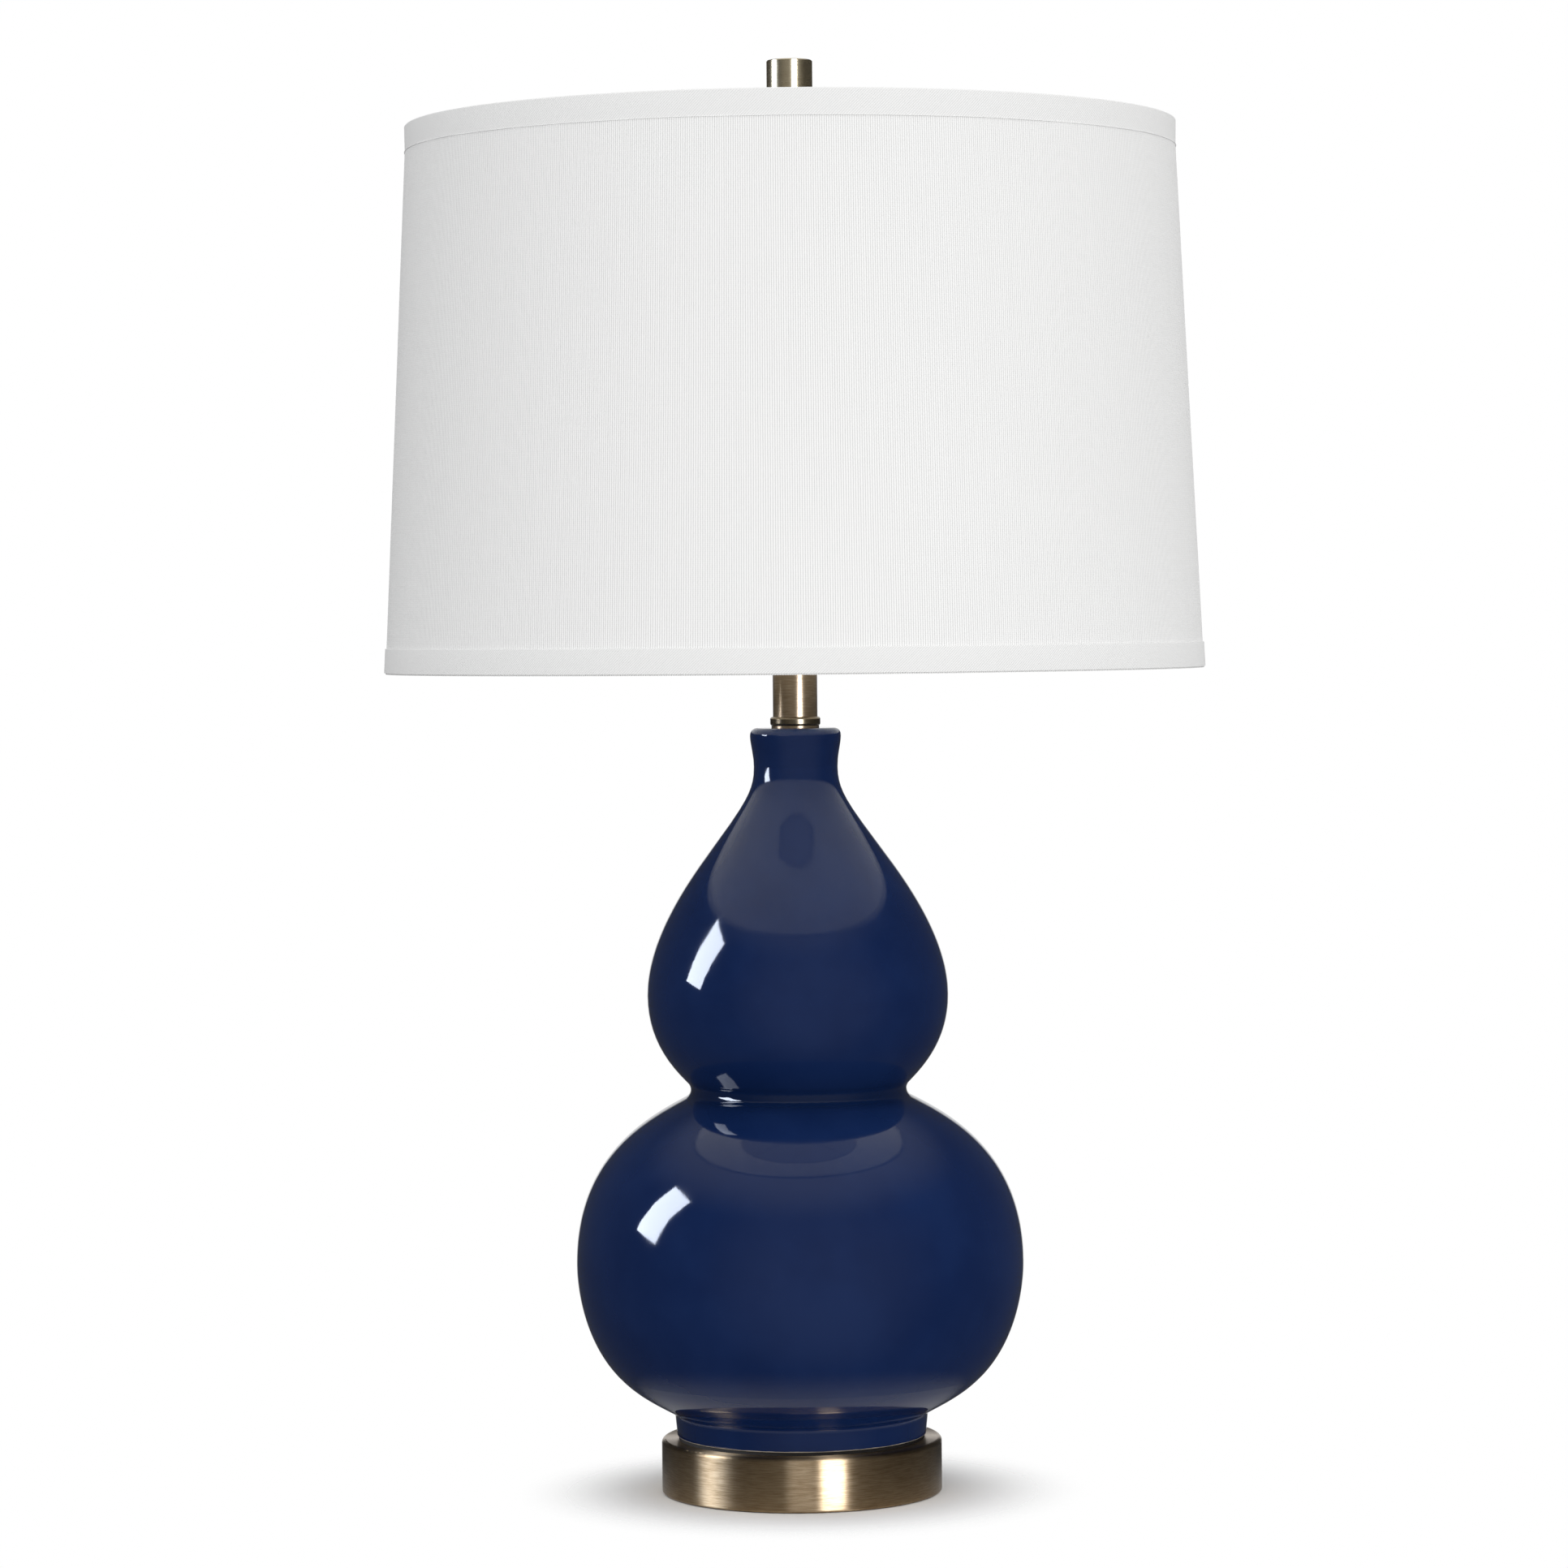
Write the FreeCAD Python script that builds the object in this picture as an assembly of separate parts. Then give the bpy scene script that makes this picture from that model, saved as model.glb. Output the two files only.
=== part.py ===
import FreeCAD, Part

import math
import os

# Double gourd table lamp with a turned metal base, a glazed ceramic body, a harp and an empire shade.
# Millimetres, +Z up. The origin is the centre of the underside; -Y is the front of the lamp.

Vector = FreeCAD.Vector
ORIGIN = Vector(0, 0, 0)
X_AXIS = Vector(1, 0, 0)
Y_AXIS = Vector(0, 1, 0)
FRONT = Vector(0, -1, 0)
Z_AXIS = Vector(0, 0, 1)
FULL_TURN = 360.0

# ---- fits ----
ROD_HOLE_CLEARANCE = 0.4
RUNNING_CLEARANCE = 0.05
SLEEVE_CLEARANCE = 0.08
LAP_CLEARANCE = 0.1
SHELL_FIT = 0.1
WEIGHT_CLEARANCE = 0.3
SPIGOT_CLEARANCE = 0.3
BULB_CLEARANCE = 0.3
CONTACT_GAP = 0.1
TRIM_SLIT_CLEARANCE = 0.3
KNOB_GAP = 0.4
SPINDLE_HOLE_CLEARANCE = 1.2

# ---- base ----
BASE_RADIUS = 70.0
BASE_HEIGHT = 27.0
BASE_WALL = 1.5
BASE_TOP_EDGE_RADIUS = 2.0
BASE_BOTTOM_EDGE_RADIUS = 1.2
BASE_FLOOR_GAP = 0.3
FELT_THICKNESS = 1.5
NUT_RECESS_RADIUS = 16.0
NUT_RECESS_HEIGHT = 11.0
CORD_HEIGHT = 9.0
CORD_CHANNEL_RADIUS = 5.5
BUSHING_BORE_RADIUS = 3.7
BUSHING_WALL = 1.1
BUSHING_HOLE_CLEARANCE = 0.2
BUSHING_FLANGE_RADIUS = 7.0
BUSHING_FLANGE_THICKNESS = 1.5
BUSHING_TAIL = 2.5

# ---- threaded rod and its hardware ----
ROD_RADIUS = 5.0
ROD_BORE_RADIUS = 3.4
ROD_NUT_EXTENSION = 1.0
ROD_CAP_EXTENSION = 7.0
WASHER_RADIUS = 12.0
WASHER_THICKNESS = 2.0
NUT_ACROSS_FLATS = 16.0
NUT_THICKNESS = 4.5

# ---- gasket under the ceramic foot ----
GASKET_THICKNESS = 1.6
GASKET_WIDTH = 9.0
GASKET_SETBACK = 0.8

# ---- ceramic body: heights are measured from the underside of its foot, depths from its lip ----
CERAMIC_WALL = 5.0
CERAMIC_HEIGHT = 353.0
FOOT_RADIUS = 62.2
FOOT_EDGE_RADIUS = 0.8
FOOT_RING_WIDTH = 10.0
FOOT_RECESS_DEPTH = 4.0
FLOOR_THICKNESS = 6.0
CEILING_THICKNESS = 6.0
CREASE_RADIUS = 63.35
CREASE_HEIGHT = 11.4
CREASE_ANGLE = 62.0
CREASE_FILLET = 3.5
BOWL_RADIUS = 92.0
BOWL_HEIGHT = 31.0
BOWL_ANGLE = 43.0
BELLY_RADIUS = 111.67
BELLY_HEIGHT = 86.2
WAIST_RADIUS = 51.0
WAIST_HEIGHT = 171.9
WAIST_ANGLE_BELOW = -62.0
WAIST_ANGLE_ABOVE = 44.5
WAIST_FILLET = 4.4
BULB_RADIUS = 75.15
BULB_HEIGHT = 220.0
TAPER_RADIUS = 43.2
TAPER_DEPTH = 61.2
TAPER_ANGLE = -36.6
NECK_RADIUS = 20.97
NECK_DEPTH = 19.3
LIP_RADIUS = 22.75
LIP_EDGE_RADIUS = 3.6

# How far each curve of the outline holds its end tangents, as a share of the distance between its ends.
CREASE_TO_BOWL_HOLD = (0.427, 0.331)
BOWL_TO_BELLY_HOLD = (0.409, 0.205)
BELLY_TO_WAIST_HOLD = (0.557, 0.202)
WAIST_TO_BULB_HOLD = (0.220, 0.488)
BULB_TO_TAPER_HOLD = (0.364, 0.219)
TAPER_TO_NECK_HOLD = (0.633, 0.248)
NECK_TO_LIP_HOLD = (0.420, 0.300)

# ---- metal neck ----
NECK_HOLE_RADIUS = 9.0
NECK_RING_RADIUS = 11.9
NECK_RING_THICKNESS = 1.1
SPIGOT_LENGTH = 5.0
COLLAR_RADIUS = 12.5
COLLAR_HEIGHT = 4.4
COLLAR_EDGE_RADIUS = 1.2
NECK_TUBE_RADIUS = 11.09
NECK_TUBE_WALL = 1.2
NECK_TUBE_LENGTH = 37.0

# ---- harp saddle ----
SADDLE_THICKNESS = 1.5
SADDLE_WIDTH = 12.0
SADDLE_FLAT_HALF_LENGTH = 17.0
SADDLE_RISE = 11.5
SADDLE_SHELF_LENGTH = 7.0
LAP_LENGTH = 8.0

# ---- socket ----
CAP_NECK_RADIUS = 8.5
CAP_NECK_HEIGHT = 4.5
CAP_WALL = 0.8
CAP_RADIUS = 17.1
CAP_SHOULDER_HEIGHT = 7.5
CAP_SKIRT_HEIGHT = 5.0
CAP_OVERLAP = 4.0
SOCKET_SHELL_WALL = 0.6
SOCKET_SHELL_HEIGHT = 49.0
LINER_WALL = 0.5
LINER_MARGIN = 1.5
BLOCK_CLEARANCE = 0.1
BLOCK_HEIGHT = 17.0
SCREW_SHELL_RADIUS = 13.5
SCREW_SHELL_WALL = 0.4
SCREW_SHELL_HEIGHT = 24.0
SOCKET_CONTACT_RADIUS = 4.0
SOCKET_CONTACT_THICKNESS = 1.5
TERMINAL_HEAD_RADIUS = 2.8
TERMINAL_HEAD_HEIGHT = 1.6
TERMINAL_SPACING = 19.0

# ---- switch knob ----
SPINDLE_RADIUS = 2.0
SPINDLE_DEPTH = 8.0
KNOB_RADIUS = 5.5
KNOB_LENGTH = 12.0
KNOB_FLUTES = 12
KNOB_FLUTE_RADIUS = 0.9
KNOB_EDGE_RADIUS = 0.6
KNOB_SOCKET_DEPTH = 9.0

# ---- light bulb ----
TIP_RADIUS = 4.5
TIP_HEIGHT = 1.5
INSULATOR_HEIGHT = 3.5
INSULATOR_TOP_RADIUS = 11.5
LAMP_BASE_HEIGHT = 21.0
LAMP_BASE_WALL = 0.5
THREAD_PITCH = 3.629
THREAD_DEPTH = 0.5
THREAD_TURNS = 4
GLASS_RADIUS = 30.0
GLASS_EQUATOR_HEIGHT = 52.0
GLASS_WALL = 0.8
GLASS_NECK_SETBACK = 0.3
GLASS_HOLD = (0.35, 0.45)

# ---- harp ----
WIRE_RADIUS = 1.8
LEG_SPREAD = 57.0
LEG_STRAIGHT = 34.0
HARP_HEIGHT = 223.4
KNEE_RADIUS = 35.0
KNEE_ANGLE = 22.0
ARCH_RADIUS = 46.0
ARCH_ANGLE = 8.0
EYE_RADIUS = 7.5
SLEEVE_WALL = 0.9
SLEEVE_LENGTH = 12.0

# ---- swivel stud on top of the harp ----
STUD_SHANK_RADIUS = 4.0
STUD_FLANGE_RADIUS = 6.5
STUD_FLANGE_THICKNESS = 1.6
STUD_HEAD_THICKNESS = 2.4
STUD_THREAD_RADIUS = 3.1
STUD_THREAD_LENGTH = 9.0

# ---- shade ----
SHADE_TOP_RADIUS = 190.2
SHADE_BOTTOM_RADIUS = 203.2
SHADE_HEIGHT = 270.1
SHADE_DROP = 14.7
HUB_RADIUS = 12.5
HUB_THICKNESS = 1.6
HUB_HOLE_CLEARANCE = 0.6
ARM_COUNT = 3
ARM_RADIUS = 1.5
ARM_BEND_RADIUS = 12.0
ARM_BEND_ANGLE = 38.0
ARM_FIRST_ANGLE = 90.0
RING_RADIUS = 1.6
RING_GAP = 0.05
TRIM_HEIGHT = 12.7
TRIM_THICKNESS = 0.7
TRIM_INNER_HEIGHT = 8.0
FABRIC_THICKNESS = 0.7
SHADE_LINER_THICKNESS = 0.6

# ---- finial ----
FINIAL_RADIUS = 11.4
FINIAL_LENGTH = 47.1
FINIAL_EDGE_CHAMFER = 0.5
FINIAL_SEAT_DEPTH = 1.0
INSERT_RADIUS = 5.5
INSERT_LENGTH = 12.0
INSERT_CLEARANCE = 0.2
FINIAL_BORE_DEPTH = 15.0

# ---- levels that follow from the sizes above ----
SHELL_UNDERSIDE_LEVEL = BASE_HEIGHT - BASE_WALL
RECESS_TOP_LEVEL = FELT_THICKNESS + NUT_RECESS_HEIGHT
NUT_TOP_LEVEL = RECESS_TOP_LEVEL - WASHER_THICKNESS
NUT_BOTTOM_LEVEL = NUT_TOP_LEVEL - NUT_THICKNESS
FOOT_LEVEL = BASE_HEIGHT + GASKET_THICKNESS
CERAMIC_TOP_LEVEL = FOOT_LEVEL + CERAMIC_HEIGHT
COLLAR_LEVEL = CERAMIC_TOP_LEVEL + NECK_RING_THICKNESS
TUBE_LEVEL = COLLAR_LEVEL + COLLAR_HEIGHT
SADDLE_LEVEL = TUBE_LEVEL + NECK_TUBE_LENGTH
CAP_LEVEL = SADDLE_LEVEL + SADDLE_THICKNESS
CAP_SKIRT_LEVEL = CAP_LEVEL + CAP_NECK_HEIGHT + CAP_SHOULDER_HEIGHT
CAP_TOP_LEVEL = CAP_SKIRT_LEVEL + CAP_SKIRT_HEIGHT
SOCKET_SHELL_LEVEL = CAP_TOP_LEVEL - CAP_OVERLAP
SOCKET_SHELL_TOP_LEVEL = SOCKET_SHELL_LEVEL + SOCKET_SHELL_HEIGHT
BLOCK_LEVEL = SOCKET_SHELL_LEVEL + LINER_MARGIN
BLOCK_TOP_LEVEL = BLOCK_LEVEL + BLOCK_HEIGHT
KNOB_LEVEL = BLOCK_LEVEL + BLOCK_HEIGHT / 2
SHELF_LEVEL = SADDLE_LEVEL + SADDLE_RISE + SADDLE_THICKNESS
BULB_LEVEL = BLOCK_TOP_LEVEL + SOCKET_CONTACT_THICKNESS + CONTACT_GAP
INSULATOR_LEVEL = BULB_LEVEL + TIP_HEIGHT
LAMP_BASE_LEVEL = INSULATOR_LEVEL + INSULATOR_HEIGHT
GLASS_LEVEL = LAMP_BASE_LEVEL + LAMP_BASE_HEIGHT
HARP_TOP_LEVEL = SHELF_LEVEL + HARP_HEIGHT
EYE_TOP_LEVEL = HARP_TOP_LEVEL + WIRE_RADIUS
EYE_BOTTOM_LEVEL = HARP_TOP_LEVEL - WIRE_RADIUS
FLANGE_LEVEL = EYE_TOP_LEVEL + RUNNING_CLEARANCE
HUB_LEVEL = FLANGE_LEVEL + STUD_FLANGE_THICKNESS
HUB_TOP_LEVEL = HUB_LEVEL + HUB_THICKNESS
SHADE_TOP_LEVEL = HUB_TOP_LEVEL + SHADE_DROP
SHADE_BOTTOM_LEVEL = SHADE_TOP_LEVEL - SHADE_HEIGHT
FINIAL_TOP_LEVEL = HUB_TOP_LEVEL + FINIAL_LENGTH

# ---- heights on the ceramic body that follow from the sizes above ----
TAPER_HEIGHT = CERAMIC_HEIGHT - TAPER_DEPTH
NECK_HEIGHT = CERAMIC_HEIGHT - NECK_DEPTH

# ---- radii that follow from the sizes above ----
BASE_INNER_RADIUS = BASE_RADIUS - BASE_WALL
ROD_HOLE_RADIUS = ROD_RADIUS + ROD_HOLE_CLEARANCE
SOCKET_SHELL_RADIUS = CAP_RADIUS - CAP_WALL - SHELL_FIT
LINER_RADIUS = SOCKET_SHELL_RADIUS - SOCKET_SHELL_WALL
BLOCK_RADIUS = LINER_RADIUS - LINER_WALL - BLOCK_CLEARANCE
LAMP_BASE_RADIUS = SCREW_SHELL_RADIUS - SCREW_SHELL_WALL - BULB_CLEARANCE
LEG_OFFSET = LEG_SPREAD / 2
SLEEVE_BORE_RADIUS = WIRE_RADIUS + SLEEVE_CLEARANCE
SLEEVE_RADIUS = SLEEVE_BORE_RADIUS + SLEEVE_WALL


def disc(radius, bottom, top):
    """A solid cylinder about the lamp's axis between two levels."""
    return Part.makeCylinder(radius, top - bottom, Vector(0, 0, bottom), Z_AXIS)


def tube(outer_radius, inner_radius, bottom, top):
    """A cylinder about the lamp's axis with a hole through it."""
    return disc(outer_radius, bottom, top).cut(disc(inner_radius, bottom, top))


def turned(points):
    """The solid that a closed outline of (radius, level) points makes about the lamp's axis."""
    corners = [Vector(radius, 0, level) for radius, level in points]
    outline = Part.makePolygon(corners + corners[:1])
    return Part.Face(outline).revolve(ORIGIN, Z_AXIS, FULL_TURN)


def round_edge(shape, radius, level, fillet):
    """Round the circular edge of that radius at that level."""
    tolerance = 1e-4
    edges = []
    for edge in shape.Edges:
        if not isinstance(edge.Curve, Part.Circle):
            continue
        if abs(edge.Curve.Radius - radius) > tolerance:
            continue
        if abs(edge.Curve.Center.z - level) < tolerance:
            edges.append(edge)
    return shape.makeFillet(fillet, edges)


def straight(start, end):
    """A straight edge in the XZ plane between two (x, z) points."""
    return Part.LineSegment(Vector(start[0], 0, start[1]), Vector(end[0], 0, end[1])).toShape()


# ---- base ----

def make_base_felt():
    """The felt pad that the lamp stands on."""
    return disc(BASE_INNER_RADIUS - WEIGHT_CLEARANCE, 0, FELT_THICKNESS)


def make_base_shell():
    """The spun metal drum, open below, with its rod hole and the hole for the cord bushing at the back."""
    drum = disc(BASE_RADIUS, BASE_FLOOR_GAP, BASE_HEIGHT)
    drum = round_edge(drum, BASE_RADIUS, BASE_HEIGHT, BASE_TOP_EDGE_RADIUS)
    drum = round_edge(drum, BASE_RADIUS, BASE_FLOOR_GAP, BASE_BOTTOM_EDGE_RADIUS)
    inside = disc(BASE_INNER_RADIUS, BASE_FLOOR_GAP, SHELL_UNDERSIDE_LEVEL)
    inside = round_edge(inside, BASE_INNER_RADIUS, SHELL_UNDERSIDE_LEVEL, BASE_TOP_EDGE_RADIUS / 2)
    rod_hole = disc(ROD_HOLE_RADIUS, SHELL_UNDERSIDE_LEVEL, BASE_HEIGHT)
    hole_radius = BUSHING_BORE_RADIUS + BUSHING_WALL + BUSHING_HOLE_CLEARANCE
    cord_hole = Part.makeCylinder(hole_radius, BASE_RADIUS, Vector(0, 0, CORD_HEIGHT), Y_AXIS)
    return drum.cut(inside).cut(rod_hole).cut(cord_hole)


def make_base_weight():
    """The cast iron slug inside the drum, with a recess for the nut and a channel for the cord."""
    radius = BASE_INNER_RADIUS - WEIGHT_CLEARANCE
    slug = disc(radius, FELT_THICKNESS, SHELL_UNDERSIDE_LEVEL)
    slug = round_edge(slug, radius, SHELL_UNDERSIDE_LEVEL, BASE_TOP_EDGE_RADIUS)
    recess = disc(NUT_RECESS_RADIUS, FELT_THICKNESS, RECESS_TOP_LEVEL)
    rod_hole = disc(ROD_HOLE_RADIUS, FELT_THICKNESS, SHELL_UNDERSIDE_LEVEL)
    channel = Part.makeCylinder(CORD_CHANNEL_RADIUS, BASE_RADIUS, Vector(0, 0, CORD_HEIGHT), Y_AXIS)
    return slug.cut(recess).cut(rod_hole).cut(channel)


def make_cord_bushing():
    """The flanged bushing that lines the cord's hole at the back of the base."""
    middle = Vector(0, 0, CORD_HEIGHT)
    body_radius = BUSHING_BORE_RADIUS + BUSHING_WALL
    outer_end = BASE_RADIUS + BUSHING_FLANGE_THICKNESS
    inner_end = BASE_INNER_RADIUS - BUSHING_TAIL
    flange = Part.makeCylinder(BUSHING_FLANGE_RADIUS, outer_end, middle, Y_AXIS)
    flange = flange.cut(disc(BASE_RADIUS, 0, BASE_HEIGHT))
    body = Part.makeCylinder(body_radius, outer_end, middle, Y_AXIS)
    bore = Part.makeCylinder(BUSHING_BORE_RADIUS, outer_end, middle, Y_AXIS)
    core = Part.makeCylinder(BUSHING_FLANGE_RADIUS, inner_end, middle, Y_AXIS)
    return flange.fuse(body).cut(bore).cut(core).removeSplitter()


# ---- rod and its hardware ----

def make_threaded_rod():
    """The hollow rod that holds the base, the body, the neck and the socket together."""
    bottom = NUT_BOTTOM_LEVEL - ROD_NUT_EXTENSION
    return tube(ROD_RADIUS, ROD_BORE_RADIUS, bottom, CAP_LEVEL + ROD_CAP_EXTENSION)


def make_rod_washer():
    """The washer between the nut and the iron slug."""
    return tube(WASHER_RADIUS, ROD_HOLE_RADIUS, NUT_TOP_LEVEL, RECESS_TOP_LEVEL)


def make_rod_nut():
    """The hexagon nut at the bottom of the rod."""
    corner_radius = NUT_ACROSS_FLATS / 2 / math.cos(math.pi / 6)
    corners = []
    for index in range(6):
        angle = index * math.pi / 3
        across = corner_radius * math.cos(angle)
        along = corner_radius * math.sin(angle)
        corners.append(Vector(across, along, NUT_BOTTOM_LEVEL))
    hexagon = Part.Face(Part.makePolygon(corners + corners[:1]))
    nut = hexagon.extrude(Vector(0, 0, NUT_THICKNESS))
    return nut.cut(disc(ROD_RADIUS, NUT_BOTTOM_LEVEL, NUT_TOP_LEVEL))


def make_foot_gasket():
    """The dark rubber ring between the base and the ceramic foot."""
    radius = FOOT_RADIUS - GASKET_SETBACK
    return tube(radius, radius - GASKET_WIDTH, BASE_HEIGHT, FOOT_LEVEL)


# ---- ceramic body ----

class Station:
    """A place on the gourd's outline, with the outline's lean from vertical just below and just above it."""

    def __init__(self, radius, height, lean_below, lean_above):
        self.radius = radius
        self.height = height
        self.lean_below = math.radians(lean_below)
        self.lean_above = math.radians(lean_above)

    def moved_in(self, depth):
        """The point (radius, level) that lies that depth inside the outline here."""
        across = -math.cos(self.lean_below) - math.cos(self.lean_above)
        along = math.sin(self.lean_below) + math.sin(self.lean_above)
        share = depth / (1 + math.cos(self.lean_below - self.lean_above))
        return self.radius + across * share, FOOT_LEVEL + self.height + along * share


def curve_between(low, high, hold, depth):
    """The curve from one station to the next, that depth inside the outline."""
    start = low.moved_in(depth)
    end = high.moved_in(depth)
    distance = math.hypot(end[0] - start[0], end[1] - start[1])
    first = hold[0] * distance
    last = hold[1] * distance
    curve = Part.BezierCurve()
    curve.setPoles([
        Vector(start[0], 0, start[1]),
        Vector(start[0] + first * math.sin(low.lean_above), 0, start[1] + first * math.cos(low.lean_above)),
        Vector(end[0] - last * math.sin(high.lean_below), 0, end[1] - last * math.cos(high.lean_below)),
        Vector(end[0], 0, end[1]),
    ])
    return curve.toShape()


def foot_lean():
    """The lean of the foot band, in degrees."""
    return math.degrees(math.atan2(CREASE_RADIUS - FOOT_RADIUS, CREASE_HEIGHT))


def gourd_stations():
    """The stations of the gourd from the crease above the foot up to the lip."""
    return [
        Station(CREASE_RADIUS, CREASE_HEIGHT, foot_lean(), CREASE_ANGLE),
        Station(BOWL_RADIUS, BOWL_HEIGHT, BOWL_ANGLE, BOWL_ANGLE),
        Station(BELLY_RADIUS, BELLY_HEIGHT, 0, 0),
        Station(WAIST_RADIUS, WAIST_HEIGHT, WAIST_ANGLE_BELOW, WAIST_ANGLE_ABOVE),
        Station(BULB_RADIUS, BULB_HEIGHT, 0, 0),
        Station(TAPER_RADIUS, TAPER_HEIGHT, TAPER_ANGLE, TAPER_ANGLE),
        Station(NECK_RADIUS, NECK_HEIGHT, 0, 0),
        Station(LIP_RADIUS, CERAMIC_HEIGHT - LIP_EDGE_RADIUS, 0, 0),
    ]


GOURD_HOLDS = [
    CREASE_TO_BOWL_HOLD,
    BOWL_TO_BELLY_HOLD,
    BELLY_TO_WAIST_HOLD,
    WAIST_TO_BULB_HOLD,
    BULB_TO_TAPER_HOLD,
    TAPER_TO_NECK_HOLD,
    NECK_TO_LIP_HOLD,
]


def lip_edge(start, top):
    """The rounded edge from the widest point of the lip to its flat top."""
    centre = start[0] - LIP_EDGE_RADIUS
    reach = LIP_EDGE_RADIUS * math.sqrt(0.5)
    middle = Vector(centre + reach, 0, start[1] + reach)
    return Part.Arc(Vector(start[0], 0, start[1]), middle, Vector(centre, 0, top)).toShape()


def gourd_solid(stations, depth, foot_radius, bottom, top):
    """The solid inside the curves through the stations, closed by flat ends at two levels."""
    first = stations[0].moved_in(depth)
    last = stations[-1].moved_in(depth)
    edges = [straight((0, bottom), (foot_radius, bottom))]
    edges.append(straight((foot_radius, bottom), first))
    for low, high, hold in zip(stations, stations[1:], GOURD_HOLDS):
        edges.append(curve_between(low, high, hold, depth))
    if depth > 0:
        top_radius = last[0]
        edges.append(straight(last, (top_radius, top)))
    else:
        top_radius = LIP_RADIUS - LIP_EDGE_RADIUS
        edges.append(lip_edge(last, top))
    edges.append(straight((top_radius, top), (0, top)))
    edges.append(straight((0, top), (0, bottom)))
    return Part.Face(Part.Wire(edges)).revolve(ORIGIN, Z_AXIS, FULL_TURN)


def make_ceramic_body():
    """The slip cast double gourd: one even wall, a recessed foot, and holes for the rod and the neck."""
    stations = gourd_stations()
    body = gourd_solid(stations, 0, FOOT_RADIUS, FOOT_LEVEL, CERAMIC_TOP_LEVEL)
    body = round_edge(body, FOOT_RADIUS, FOOT_LEVEL, FOOT_EDGE_RADIUS)
    body = round_edge(body, CREASE_RADIUS, FOOT_LEVEL + CREASE_HEIGHT, CREASE_FILLET)
    body = round_edge(body, WAIST_RADIUS, FOOT_LEVEL + WAIST_HEIGHT, WAIST_FILLET)
    floor_level = FOOT_LEVEL + FOOT_RECESS_DEPTH + FLOOR_THICKNESS
    ceiling_level = CERAMIC_TOP_LEVEL - CEILING_THICKNESS
    hollow = gourd_solid(stations[:-1], CERAMIC_WALL, FOOT_RADIUS - CERAMIC_WALL, floor_level, ceiling_level)
    recess = disc(FOOT_RADIUS - FOOT_RING_WIDTH, FOOT_LEVEL, FOOT_LEVEL + FOOT_RECESS_DEPTH)
    rod_hole = disc(NECK_HOLE_RADIUS, FOOT_LEVEL, floor_level)
    neck_hole = disc(NECK_HOLE_RADIUS, ceiling_level, CERAMIC_TOP_LEVEL)
    return body.cut(hollow).cut(recess).cut(rod_hole).cut(neck_hole)


# ---- metal neck ----

def make_neck_ring():
    """The thin check ring on the ceramic lip, with a spigot that centres it in the neck's hole."""
    spigot_radius = NECK_HOLE_RADIUS - SPIGOT_CLEARANCE
    ring = disc(NECK_RING_RADIUS, CERAMIC_TOP_LEVEL, COLLAR_LEVEL)
    spigot = disc(spigot_radius, CERAMIC_TOP_LEVEL - SPIGOT_LENGTH, COLLAR_LEVEL)
    hole = disc(ROD_HOLE_RADIUS, CERAMIC_TOP_LEVEL - SPIGOT_LENGTH, COLLAR_LEVEL)
    return ring.fuse(spigot).removeSplitter().cut(hole)


def make_neck_collar():
    """The rounded bead under the neck tube."""
    bead = disc(COLLAR_RADIUS, COLLAR_LEVEL, TUBE_LEVEL)
    bead = round_edge(bead, COLLAR_RADIUS, COLLAR_LEVEL, COLLAR_EDGE_RADIUS)
    bead = round_edge(bead, COLLAR_RADIUS, TUBE_LEVEL, COLLAR_EDGE_RADIUS)
    return bead.cut(disc(ROD_HOLE_RADIUS, COLLAR_LEVEL, TUBE_LEVEL))


def make_neck_tube():
    """The plain tube that spaces the harp saddle above the body."""
    return tube(NECK_TUBE_RADIUS, NECK_TUBE_RADIUS - NECK_TUBE_WALL, TUBE_LEVEL, SADDLE_LEVEL)


# ---- harp saddle ----

def saddle_arm(side):
    """One bent arm of the saddle with its half round post; side is 1 or -1."""
    shelf_start = LEG_OFFSET - SADDLE_SHELF_LENGTH / 2
    shelf_end = LEG_OFFSET + SADDLE_SHELF_LENGTH / 2
    shelf_underside = SHELF_LEVEL - SADDLE_THICKNESS
    profile = [
        (0, SADDLE_LEVEL),
        (SADDLE_FLAT_HALF_LENGTH + SADDLE_THICKNESS / 2, SADDLE_LEVEL),
        (shelf_start + SADDLE_THICKNESS / 2, shelf_underside),
        (shelf_end, shelf_underside),
        (shelf_end, SHELF_LEVEL),
        (shelf_start - SADDLE_THICKNESS / 2, SHELF_LEVEL),
        (SADDLE_FLAT_HALF_LENGTH - SADDLE_THICKNESS / 2, CAP_LEVEL),
        (0, CAP_LEVEL),
    ]
    corners = [Vector(side * across, -SADDLE_WIDTH / 2, level) for across, level in profile]
    strip = Part.Face(Part.makePolygon(corners + corners[:1])).extrude(Vector(0, SADDLE_WIDTH, 0))
    foot = Vector(side * LEG_OFFSET, 0, SHELF_LEVEL)
    post = Part.makeCylinder(WIRE_RADIUS, LAP_LENGTH, foot, Z_AXIS)
    return strip.fuse(post.cut(lap_block(side, SHELF_LEVEL)))


def lap_block(side, bottom):
    """The space outside the lap plane of one post, which the harp's leg fills."""
    width = 4 * WIRE_RADIUS
    inner = LEG_OFFSET - LAP_CLEARANCE / 2
    left = inner if side > 0 else -inner - width
    return Part.makeBox(width, width, LAP_LENGTH, Vector(left, -width / 2, bottom))


def make_harp_saddle():
    """The steel strip under the socket, whose two posts hold the harp."""
    saddle = saddle_arm(1).fuse(saddle_arm(-1)).removeSplitter()
    return saddle.cut(disc(ROD_HOLE_RADIUS, SADDLE_LEVEL, CAP_LEVEL))


# ---- socket ----

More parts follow.
